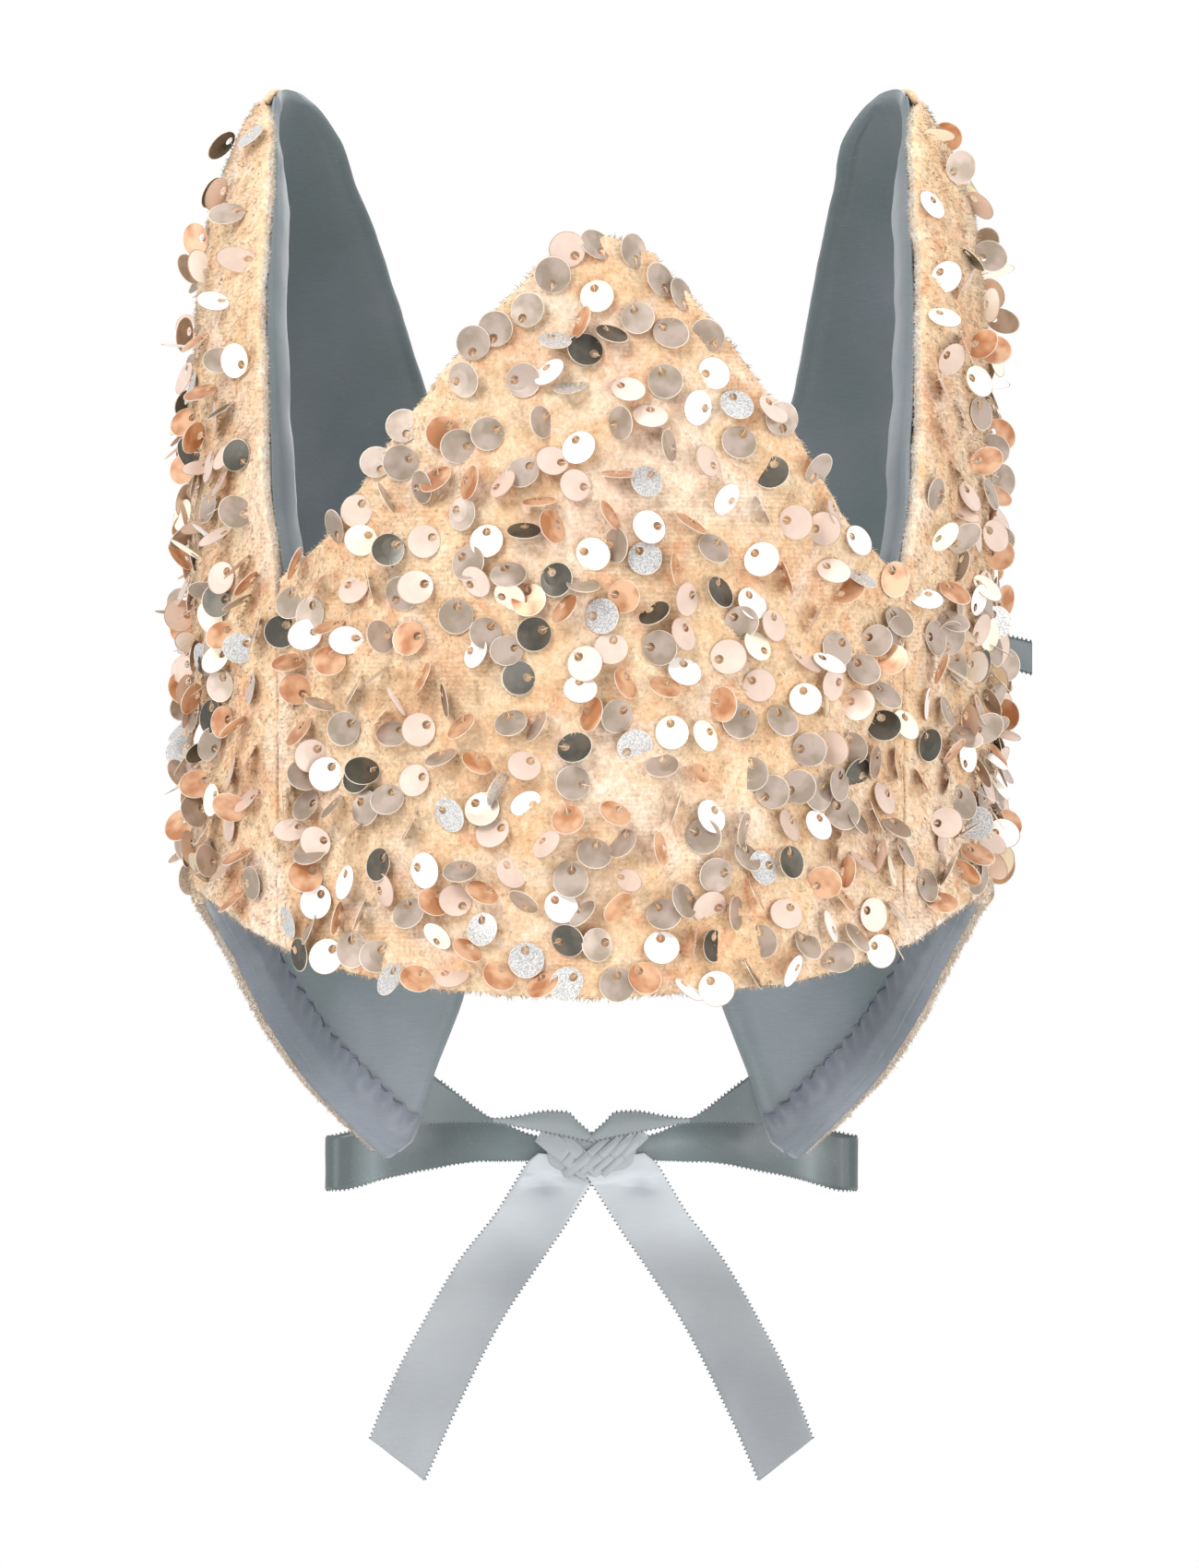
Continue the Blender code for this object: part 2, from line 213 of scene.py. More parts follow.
def side_outline(u, v, side):
    nape_z, nape_angle = REAR_EDGE[0][0] * MM, REAR_EDGE[0][1]

    def bottom(t):
        angle = between(SEAM_ANGLE, nape_angle, t)
        return angle, through(HEM, angle) * MM

    left = upright(front_angle, through(HEM, SEAM_ANGLE) * MM, BEND_HEIGHT)
    right = upright(lambda z: rear_angle(z, side), nape_z, BEND_HEIGHT)
    return coons(bottom, bend_line(side), left, right, u, v)


def ear_outline(u, v, side):
    (front_z, front_top), (rear_z, rear_top) = FRONT_EDGE[-1], REAR_EDGE[-1]

    def top(t):
        rise = TIP_RISE * 4 * t * (1 - t)
        return between(front_top, rear_top, t), between(front_z, rear_z, t) * MM + rise

    left = upright(front_angle, BEND_HEIGHT, front_z * MM)
    right = upright(lambda z: rear_angle(z, side), BEND_HEIGHT, rear_z * MM)
    return coons(bend_line(side), top, left, right, u, v)


def leaf_outline(u, w, side):
    """(angle, height) on a whole leaf: w is 0 at the hem, 1 at the bend line and 2 at the tip."""
    low = side_outline(u, np.clip(w, 0, 1), side)
    high = ear_outline(u, np.clip(w - 1, 0, 1), side)
    return [np.where(w <= 1, a, b) for a, b in zip(low, high)]


def front_outline(u, v):
    angle = (SEAM_ANGLE - SEAM_GAP / 2) * (2 * u - 1)
    low = through(HEM, np.abs(angle)) * MM
    from_peak = np.abs(angle - PEAK_OFFSET * (1 - np.abs(angle) / SEAM_ANGLE))
    return [angle, low + (through(PEAK, from_peak) * MM - low) * v]


# ------------------------------------------------------------------ meshes

def field(points, size, seed, depth=2):
    """A soft random value from about -1 to 1 at each point, with lumps of this size in metres."""
    shift = Vector((3.7 * seed, 1.3 * seed, 2.1 * seed))
    flat = np.reshape(points, (-1, 3)) / size
    values = [noise.fractal(Vector(p) + shift, 0.9, 2.0, depth) for p in flat]
    return np.reshape(values, np.shape(points)[:-1])


def make(name, points, faces, materials, face_materials=None, flat=False):
    """A mesh object. faces is an array with one row of vertex numbers for each face."""
    count, size = faces.shape
    data = bpy.data.meshes.new(name)
    data.vertices.add(len(points))
    data.vertices.foreach_set("co", np.ascontiguousarray(points, np.float32).ravel())
    data.loops.add(count * size)
    data.loops.foreach_set("vertex_index", faces.astype(np.int32).ravel())
    data.polygons.add(count)
    data.polygons.foreach_set("loop_start", np.arange(0, count * size, size, dtype=np.int32))
    for surface in materials:
        data.materials.append(surface)
    if face_materials is not None:
        data.polygons.foreach_set("material_index", face_materials.astype(np.int32))
    data.update(calc_edges=True)
    data.polygons.foreach_set("use_smooth", np.full(count, not flat))
    data.validate()
    obj = bpy.data.objects.new(name, data)
    bpy.context.scene.collection.objects.link(obj)
    return obj


def grid_faces(rows, columns):
    number = np.arange((rows + 1) * (columns + 1)).reshape(rows + 1, columns + 1)
    return np.stack([number[:-1, :-1], number[:-1, 1:], number[1:, 1:], number[1:, :-1]],
                    -1).reshape(-1, 4)


def grid_normals(points):
    return unit(np.cross(np.gradient(points, axis=1), np.gradient(points, axis=0)))


def lifted(points, by):
    return points + grid_normals(points) * by[..., None]


def grid_parameters(rows, columns):
    return np.meshgrid(np.linspace(0, 1, columns + 1), np.linspace(0, 1, rows + 1))


def edge_directions(points):
    """For each side of a grid, the unit vectors that point out of it, square to that edge."""
    along_u, along_w = np.gradient(points, axis=1), np.gradient(points, axis=0)

    def out(along, across):
        along = unit(along)
        return unit(across - (across * along).sum(-1, keepdims=True) * along)

    return {"left": -out(along_w[:, 0], along_u[:, 0]),
            "right": out(along_w[:, -1], along_u[:, -1]),
            "bottom": -out(along_u[0], along_w[0]), "top": out(along_u[-1], along_w[-1])}


def drawn_in(points, insets):
    """Draws a grid's edges in by an inset for each side, eased over the rows next to them."""
    out, result = edge_directions(points), points.copy()
    for k in range(EASE_COLUMNS):
        share = 1 - k / EASE_COLUMNS
        result[:, k] -= out["left"] * np.reshape(insets["left"], (-1, 1)) * share
        result[:, -1 - k] -= out["right"] * np.reshape(insets["right"], (-1, 1)) * share
    for k in range(EASE_ROWS):
        share = 1 - k / EASE_ROWS
        result[k] -= out["bottom"] * np.reshape(insets["bottom"], (-1, 1)) * share
        result[-1 - k] -= out["top"] * np.reshape(insets["top"], (-1, 1)) * share
    return result


def rim(grid):
    """A grid's border values in order, once round: bottom, right, top, left."""
    return np.concatenate([grid[0, :-1], grid[:-1, -1], grid[-1, :0:-1], grid[:0:-1, 0]])


def border(rows, columns):
    """The name of the side that each face of a ring round a grid is on."""
    return np.repeat(["bottom", "right", "top", "left"], [columns, rows, columns, rows])


def rolled(points, radii):
    """A grid and the rings that roll its edges in by half a turn: (points, faces)."""
    rows, columns = points.shape[0] - 1, points.shape[1] - 1
    out = edge_directions(points)
    outward, radius = np.zeros_like(points), np.zeros(points.shape[:2])
    for key, where in (("left", np.s_[:, 0]), ("right", np.s_[:, -1]), ("bottom", np.s_[0]),
                       ("top", np.s_[-1])):
        outward[where] += out[key]
        radius[where] = np.maximum(radius[where], radii[key])
    start, outward = rim(points), unit(rim(outward))
    normals, radius = rim(grid_normals(points)), rim(radius)[:, None]
    number = rim(np.arange((rows + 1) * (columns + 1)).reshape(rows + 1, columns + 1))
    all_points, all_faces = [points.reshape(-1, 3)], [grid_faces(rows, columns)]
    total = (rows + 1) * (columns + 1)
    for k in range(1, ROLL_STEPS + 1):
        bend = math.pi * k / ROLL_STEPS
        ring = start + radius * (outward * math.sin(bend) - normals * (1 - math.cos(bend)))
        fresh = total + np.arange(len(start))
        all_faces.append(np.stack([np.roll(number, -1), number, fresh, np.roll(fresh, -1)], -1))
        all_points.append(ring)
        number, total = fresh, total + len(start)
    return np.concatenate(all_points), np.concatenate(all_faces)


def mirrored(points, faces, side):
    if side > 0:
        return points, faces
    return points * np.array([-1, 1, 1]), faces[:, ::-1]


def solid(obj, thickness):
    """Thickens a sheet backwards; its front face stays where it is."""
    shell = obj.modifiers.new("thickness", "SOLIDIFY")
    shell.thickness = thickness
    shell.offset = -1
    return obj


def sheet(name, points, surface, side=1, thickness=RIBBON_THICKNESS, flip=True):
    """A thin sheet from a grid of points, mirrored if the side is -1."""
    faces = grid_faces(points.shape[0] - 1, points.shape[1] - 1)
    shape, faces = mirrored(points.reshape(-1, 3), faces[:, ::-1] if flip else faces, side)
    return solid(make(name, shape, faces, [surface]), thickness)


def merge(obj):
    """Joins the vertices that coincide."""
    shape = bmesh.new()
    shape.from_mesh(obj.data)
    bmesh.ops.remove_doubles(shape, verts=shape.verts, dist=1e-6)
    bmesh.ops.recalc_face_normals(shape, faces=shape.faces)
    shape.to_mesh(obj.data)
    shape.free()


def tubes(name, routes, radius, surface, sides=5):
    """One mesh of closed round tubes, one along each route, an array of points."""
    points, faces, total = [], [], 0
    turns = np.linspace(0, 2 * math.pi, sides, endpoint=False)
    for route in routes:
        along = unit(np.gradient(route, axis=0))
        guide = np.where(np.abs(along[:, 2:]) > 0.8, [[1.0, 0, 0]], [[0, 0, 1.0]])
        first = unit(np.cross(along, guide))
        second = np.cross(along, first)
        count = len(route)
        taper = np.ones(count)
        taper[[0, -1]] = 0.5
        ring = (first[:, None] * np.cos(turns)[None, :, None]
                + second[:, None] * np.sin(turns)[None, :, None])
        points.append((route[:, None] + ring * (radius * taper)[:, None, None]).reshape(-1, 3))
        points.append(route[[0, -1]] + along[[0, -1]] * np.array([[-radius], [radius]]) * 0.5)
        number = total + np.arange(count * sides).reshape(count, sides)
        following = np.roll(number, -1, axis=1)
        a, b, c, d = number[:-1], number[1:], following[1:], following[:-1]
        faces += [np.stack([a, b, c], -1).reshape(-1, 3), np.stack([a, c, d], -1).reshape(-1, 3)]
        first_cap, last_cap = total + count * sides, total + count * sides + 1
        faces.append(np.stack([number[0], following[0], np.full(sides, first_cap)], -1))
        faces.append(np.stack([following[-1], number[-1], np.full(sides, last_cap)], -1))
        total += count * sides + 2
    return make(name, np.concatenate(points), np.concatenate(faces)[:, ::-1], [surface])


# ------------------------------------------------------------------ materials

def linear(red, green, blue):
    """A colour given as 0 to 255 screen values."""
    values = [c / 255 for c in (red, green, blue)]
    return (*[v / 12.92 if v <= 0.04045 else ((v + 0.055) / 1.055) ** 2.4 for v in values], 1)


def add_node(tree, kind, inputs=None, **settings):
    """A new node. Each input is a value, or a socket that is linked to it."""
    node = tree.nodes.new(kind)
    for key, value in settings.items():
        setattr(node, key, value)
    for key, value in (inputs or {}).items():
        if isinstance(value, bpy.types.NodeSocket):
            tree.links.new(value, node.inputs[key])
        else:
            node.inputs[key].default_value = value
    return node


class Surface:
    """A procedural material, patterned in object space."""

    def __init__(self, name, **values):
        self.made = bpy.data.materials.new(name)
        self.made.use_nodes = True
        self.tree = self.made.node_tree
        self.shader = self.tree.nodes["Principled BSDF"]
        for key, value in values.items():
            self.shader.inputs[key.replace("_", " ")].default_value = value
        self.place = self.add("ShaderNodeTexCoord").outputs["Object"]

    def add(self, kind, inputs=None, **settings):
        return add_node(self.tree, kind, inputs, **settings)

    def stretched(self, scale):
        return self.add("ShaderNodeMapping", {"Vector": self.place, "Scale": scale}).outputs[0]

    def noise(self, size, detail=2, rough=0.5, distortion=0, place=None):
        """Noise with lumps of this size in metres, or at the mapped scale if place is given."""
        return self.add("ShaderNodeTexNoise", {
            "Vector": place or self.place, "Scale": 1 / size, "Detail": detail,
            "Roughness": rough, "Distortion": distortion}).outputs[0]

    def ramp(self, value, *stops):
        node = self.add("ShaderNodeValToRGB", {"Fac": value})
        band = node.color_ramp
        while len(band.elements) < len(stops):
            band.elements.new(0.5)
        for element, (position, colour) in zip(band.elements, stops):
            element.position = position
            element.color = colour if isinstance(colour, tuple) else (colour,) * 3 + (1,)
        return node.outputs[0]

    def mix(self, share, first, second, blend="MIX"):
        return self.add("ShaderNodeMix", {0: share, 6: first, 7: second}, data_type="RGBA",
                        blend_type=blend).outputs[2]

    def bump(self, height, strength, distance, under=None):
        node = self.add("ShaderNodeBump", {"Height": height, "Strength": strength,
                                           "Distance": distance})
        if under is not None:
            self.tree.links.new(under, node.inputs["Normal"])
        return node.outputs[0]

    def finish(self, colour, normal=None):
        for key, value in (("Base Color", colour), ("Normal", normal)):
            if value is not None:
                self.tree.links.new(value, self.shader.inputs[key])
        return self.made


def velvet(name, pale, warm, peach, rib=0.5):
    """Plush velvet: cream with warmer and peach patches, the knit showing where it lies flat."""
    s = Surface(name, Roughness=0.85, Sheen_Weight=0.35, Sheen_Roughness=0.4,
                Sheen_Tint=linear(255, 236, 210), Specular_IOR_Level=0.2)
    patches = s.ramp(s.noise(0.011, 4, 0.6, 0.4), (0.36, pale), (0.62, warm))
    spots = s.ramp(s.noise(0.0085, 1, 0.5, 1.2), (0.53, 0.0), (0.78, 0.85))
    colour = s.mix(spots, patches, peach)
    shaded = s.ramp(s.noise(0.019, 2, 0.5, 0.6), (0.52, 0.0), (0.72, 0.45))
    colour = s.mix(shaded, colour, peach)
    bloom = s.ramp(s.noise(0.028, 3, 0.6, 0.8), (0.49, 0.0), (0.63, 0.65))
    colour = s.mix(bloom, colour, linear(242, 226, 210))
    grain = s.ramp(s.noise(0.0010, 3, 0.7), (0.36, (0.86, 0.77, 0.68, 1)),
                   (0.62, (1.07, 1.08, 1.10, 1)))
    colour = s.mix(0.85, colour, grain, "MULTIPLY")
    tufts = s.ramp(s.noise(0.0032, 2, 0.6), (0.34, (0.92, 0.87, 0.82, 1)),
                   (0.66, (1.04, 1.05, 1.06, 1)))
    colour = s.mix(0.9, colour, tufts, "MULTIPLY")
    knit = s.add("ShaderNodeTexWave", {"Vector": s.stretched((1000, 1000, 1000)), "Scale": 0.33,
                                       "Distortion": 1.5, "Detail": 2, "Detail Scale": 2.0},
                 wave_type="BANDS", bands_direction="Z").outputs[1]
    lies_flat = s.ramp(s.noise(0.02, 2), (0.5, 0.0), (0.6, rib))
    colour = s.mix(lies_flat, colour, s.ramp(knit, (0.2, 0.86), (0.8, 1.06)), "MULTIPLY")
    height = s.bump(s.noise(0.0016, 3, 0.7), 0.8, 0.0006)
    return s.finish(colour, s.bump(knit, 0.15, 0.0002, height))


def satin(name, dark, light, roughness=0.38, weave=0.35, painted_light_with_height=None, bands=None):
    """Satin: fine crosswise threads, soft changes of tone, a broad gloss.

    The height steps (low height, high height, low factor, high factor) paint light and shade: how
    pale it is with height.
    bands are (share of the bow's reach, factor) steps: painted highlight and shade in bands, how
    pale it is with the way out.
    """
    s = Surface(name, Roughness=roughness, Sheen_Weight=0.15, Sheen_Roughness=0.35,
                Anisotropic=0.35, Specular_IOR_Level=0.45)
    tone = s.ramp(s.noise(0.035, 2, 0.4), (0.35, dark), (0.65, light))
    threads = s.noise(1.0, 2, 0.6, place=s.stretched((260, 260, 5200)))
    colour = s.mix(weave, tone, s.ramp(threads, (0.32, 0.82), (0.68, 1.14)), "MULTIPLY")
    # Painted light and shade: the colour is scaled between the two factors with height.
    if painted_light_with_height:
        height = s.add("ShaderNodeSeparateXYZ", {"Vector": s.place}).outputs[2]
        factor = s.add("ShaderNodeMapRange", {
            "Value": height, "From Min": painted_light_with_height[0], "From Max": painted_light_with_height[1], "To Min": painted_light_with_height[2],
            "To Max": painted_light_with_height[3]}, interpolation_type="SMOOTHSTEP").outputs[0]
        colour = s.mix(1.0, colour, factor, "MULTIPLY")
    # Painted highlight and shade in bands, by the distance out from the bow's middle.
    if bands:
        across = s.add("ShaderNodeSeparateXYZ", {"Vector": s.place}).outputs[0]
        out = s.add("ShaderNodeMath", {0: across}, operation="ABSOLUTE").outputs[0]
        share = s.add("ShaderNodeMath", {0: out, 1: 0.060}, operation="DIVIDE").outputs[0]
        strongest = max(factor for _, factor in bands)
        tone = s.ramp(share, *[(at, factor / strongest) for at, factor in bands])
        colour = s.mix(1.0, colour, tone, "MULTIPLY")
        colour = s.mix(1.0, colour, (strongest, strongest, strongest, 1), "MULTIPLY")
    # The pale attribute carries a painted highlight, mixed in here as a paler grey.
    pale = s.add("ShaderNodeAttribute", attribute_name="pale").outputs["Fac"]
    pale = s.add("ShaderNodeMath", {0: pale, 1: 0.62}, operation="MULTIPLY").outputs[0]
    colour = s.mix(pale, colour, linear(168, 174, 179))
    flecks = s.ramp(s.noise(0.00045, 2, 0.6), (0.62, 0.0), (0.72, 0.16))
    colour = s.mix(flecks, colour, linear(190, 196, 200))
    soft = s.bump(s.noise(0.016, 3, 0.5), 0.25, 0.0010)
    return s.finish(colour, s.bump(threads, 0.10, 0.00012, soft))


def sequin_surface(name, tone, metallic=0.25, roughness=0.27, glitter=None, paler_reflection=None):
    s = Surface(name, Roughness=roughness, Metallic=metallic, Coat_Weight=0.15,
                Coat_Roughness=0.15)
    # Each disc is mottled with a paler tone: part of its painted reflection.
    second = paler_reflection or tuple(min(1.0, c * 1.10) for c in tone[:3]) + (1,)
    colour = s.ramp(s.noise(0.005, 2, 0.5), (0.4, tone), (0.6, second))
    if glitter:
        specks = s.ramp(s.noise(0.00035, 2, 0.8), (0.44, 0.0), (0.56, 1.0))
        colour = s.mix(specks, colour, glitter)
    return s.finish(colour, s.bump(s.noise(0.004, 2), 0.06, 0.0004))


VELVET = velvet("plush_velvet", linear(237, 215, 184), linear(231, 198, 160),
                linear(221, 168, 132))
PILE = velvet("velvet_pile", linear(243, 223, 194), linear(236, 206, 170),
              linear(226, 174, 138), rib=0.2)
FRINGE = velvet("velvet_fringe", linear(238, 233, 224), linear(230, 222, 210),
                linear(218, 206, 190), rib=0.0)
# The lining is painted paler low down on the wings and darker up in the ears: painted light and
# shade by height.
SATIN = satin("lining_satin", linear(106, 117, 119), linear(124, 132, 138),
              painted_light_with_height=(-0.045, 0.06, 1.18, 0.95))
FACING = satin("facing_satin", linear(106, 113, 122), linear(130, 136, 146), roughness=0.33)
# The ribbon is one satin; its pieces take lit and shaded copies of it: painted light and shade. The
# tails are painted much paler towards their tops, a painted highlight, and the loops carry painted
# highlight bands.
TAIL_RIBBON = satin("ribbon_satin_painted_light", linear(152, 156, 161), linear(172, 176, 180),
                    roughness=0.34, weave=0.16, painted_light_with_height=(-0.091, -0.066, 0.86, 1.66))
LOOP_RIBBON = satin("ribbon_satin_shaded", linear(88, 99, 101), linear(98, 108, 110),
                    roughness=0.30, weave=0.2,
                    bands=((0.0, 0.95), (0.30, 1.5), (0.55, 0.95), (0.76, 1.05), (0.83, 1.75),
                           (0.92, 0.82), (1.0, 0.72)))
STRAP_RIBBON = satin("ribbon_satin_mid", linear(100, 110, 112), linear(116, 126, 128),
                     roughness=0.32, weave=0.2)
HUMP_RIBBON = satin("ribbon_satin_hump_painted_light", linear(136, 144, 146), linear(152, 159, 161),
                    roughness=0.32, weave=0.15)
KNOT_RIBBON = satin("ribbon_satin_knot_painted_light", linear(148, 155, 158), linear(178, 184, 188),
                    roughness=0.32, weave=0.15)
THREAD = satin("sewing_thread", linear(226, 178, 142), linear(244, 214, 184), roughness=0.6)
STITCH = satin("stitching_thread", linear(58, 64, 76), linear(84, 92, 104), roughness=0.6)
PICOT = satin("ribbon_selvedge", linear(84, 92, 96), linear(116, 124, 128), roughness=0.5)

# Each tone of the sequins: its share of them and its surface. The first ones have names.
# The discs are one rose-gold metal: rose is its own tone, and most others are painted
# reflections, white and cream of the lamps, taupe, dark and silver of the darker room, copper
# partly their backs and partly a painted reflection of the velvet; a few are green.
ROSE, TAUPE, COPPER, WHITE, CREAM = range(5)
TONES = (
    (0.26, sequin_surface("sequin_rose", linear(221, 198, 184), 0.1)),
    (0.31, sequin_surface("sequin_taupe", linear(158, 142, 125), 0.25,
                           paler_reflection=linear(186, 168, 156))),
    (0.025, sequin_surface("sequin_copper", linear(184, 124, 84), 0.15,
                           paler_reflection=linear(224, 178, 142))),
    (0.095, sequin_surface("sequin_white", linear(255, 255, 252), 0.0)),
    (0.06, sequin_surface("sequin_cream", linear(252, 243, 222), 0.0)),
    (0.07, sequin_surface("sequin_dark", linear(74, 72, 64), 0.4,
                           paler_reflection=linear(100, 92, 80))),
    (0.06, sequin_surface("sequin_silver", linear(170, 169, 168), 0.3,
                           glitter=linear(226, 226, 226))),
    (0.008, sequin_surface("sequin_green", linear(58, 112, 62), 0.2)),
)
# The outer band of each disc: a painted glint round the darker tones and painted edge shade round
# the paler ones.
PAINTED_RIM_GLINT = sequin_surface("sequin_rim_painted_glint", linear(222, 210, 194), 0.1, 0.35)
PAINTED_RIM_SHADE = sequin_surface("sequin_rim_painted_shade", linear(176, 146, 124), 0.1, 0.35)


# ------------------------------------------------------------------ velvet, pile and sequins

def lumpy(points, seed, flat_rear=False):
    """Lifts a panel's surface a little, as velvet does between its rows of stitches."""
    lift = (0.55 * MM * (1 + field(points, 8 * MM, seed))
            + 0.5 * MM * field(points, 24 * MM, seed + 5))
    lift = np.clip(lift, 0, 2 * MM)
    if flat_rear:
        rows, columns = (np.arange(count)[::-1] for count in lift.shape)
        lift = lift * smooth(rows / 6)[:, None] * smooth(columns / 5)[None]
    return lifted(points, lift)


def leaf_shell(side, seed):
    u, w = grid_parameters(*LEAF_GRID)
    angle, z = leaf_outline(u, w * 2, side)
    points = lumpy(dome(angle, z, True), seed, flat_rear=True)
    free = smooth((z[:, 0] - 64 * MM) / (6 * MM))
    radii = {"left": between(SEAM_ROLL, 1.3 * MM, free), "right": REAR_ROLL, "bottom": ROLL,
             "top": REAR_ROLL}
    hidden = {"right": REAR_ROLL + 0.7 * MM, "top": REAR_ROLL + 0.8 * MM}
    return rolled(drawn_in(points, {**radii, **hidden}), radii)


def front_shell(seed):
    u, v = grid_parameters(*FRONT_GRID)
    angle, z = front_outline(u, v)
    radii = {"left": SEAM_ROLL, "right": SEAM_ROLL, "bottom": ROLL, "top": ROLL}
    return rolled(drawn_in(lumpy(dome(angle, z, False), seed), radii), radii)


def sampled(points, faces, count, random):
    """Random places on a mesh, evenly spread: (points, normals, face numbers)."""
    a, b, c, d = (points[faces[:, k]] for k in range(4))
    normal = np.cross(c - a, d - b)
    area = np.linalg.norm(normal, axis=1)
    chosen = random.choice(len(faces), count, p=area / area.sum())
    s, t = random.random((2, count, 1))
    low, high = between(a[chosen], b[chosen], s), between(d[chosen], c[chosen], s)
    return between(low, high, t), unit(normal[chosen]), chosen


def pile(name, points, faces, count, seed):
    """Short velvet hairs in tufts, lying down the nap."""
    random = np.random.default_rng(seed)
    root, normal, _ = sampled(points, faces, count, random)
    tuft = np.stack([field(root, 2.6 * MM, seed + k, 1) for k in range(3)], -1)
    lean = np.array([0, 0, -0.9]) + tuft * 1.5 + random.normal(0, 0.28, (count, 3))
    lean -= (lean * normal).sum(-1, keepdims=True) * normal
    direction = unit(normal * 0.62 + lean)
    reach = random.uniform(0.9, 1.7, (count, 1)) * MM
    return hairs(name, root - normal * 0.15 * MM, direction, reach, 0.15 * MM, random, PILE,
                 normal + 0.35 * direction)


def hairs(name, root, direction, reach, width, random, surface, facing_way):
    """Slim closed spikes with three sides, shaded as the cloth that faces this way."""
    across = unit(np.cross(direction, random.normal(0, 1, root.shape)))
    other = np.cross(direction, across)
    corners = [root + (across * math.cos(t) + other * math.sin(t)) * width
               for t in (0, 2.094, 4.189)]
    vertices = np.stack([*corners, root + direction * reach], 1).reshape(-1, 3)
    pattern = np.array([[0, 1, 3], [1, 2, 3], [2, 0, 3], [0, 2, 1]])
    spikes = (np.arange(len(root))[:, None, None] * 4 + pattern).reshape(-1, 3)
    obj = make(name, vertices, spikes, [surface])
    shading = np.repeat(unit(facing_way), 4, axis=0)
    obj.data.normals_split_custom_set_from_vertices(shading.tolist())
    obj.visible_shadow = False
    return obj


def scattered(places, spacing):
    """The places, in order, that are at least their spacing from every one kept before."""
    kept = []
    for i, (place, near) in enumerate(zip(places, spacing)):
        if not kept or np.min(np.sum((places[kept] - place) ** 2, axis=1)) > near * near:
            kept.append(i)
    return kept


def sequin_template():
    """One flat disc round its hole: rings of (distance out, angle) points and quad faces."""
    turns = np.linspace(0, 2 * math.pi, SEQUIN_SIDES, endpoint=False)
    circle = np.stack([np.cos(turns), np.sin(turns)], -1)
    hole = circle * HOLE_RADIUS
    centre = np.array([HOLE_OFFSET, 0])
    edge = circle * SEQUIN_RADIUS + centre
    rings = [hole, between(hole, edge, 0.45), between(hole, edge, 0.965), edge]
    flat = np.concatenate(rings)
    cup = np.sum((flat - centre) ** 2, axis=1) / SEQUIN_RADIUS ** 2
    faces, bands, half = [], [], len(flat)
    number = np.arange(len(rings) * SEQUIN_SIDES).reshape(len(rings), SEQUIN_SIDES)
    for k in range(len(rings) - 1):
        a, b = number[k], number[k + 1]
        quad = np.stack([a, b, np.roll(b, -1), np.roll(a, -1)], -1)
        faces += [quad, quad[:, ::-1] + half]
        bands += [np.full(SEQUIN_SIDES * 2, k == len(rings) - 2)]
    for ring, flip in ((number[-1], 1), (number[0], -1)):
        quad = np.stack([ring, ring + half, np.roll(ring + half, -1), np.roll(ring, -1)], -1)
        faces.append(quad[:, ::flip])
        bands.append(np.full(SEQUIN_SIDES, ring[0] != 0))
    return flat, cup, np.concatenate(faces), np.concatenate(bands)


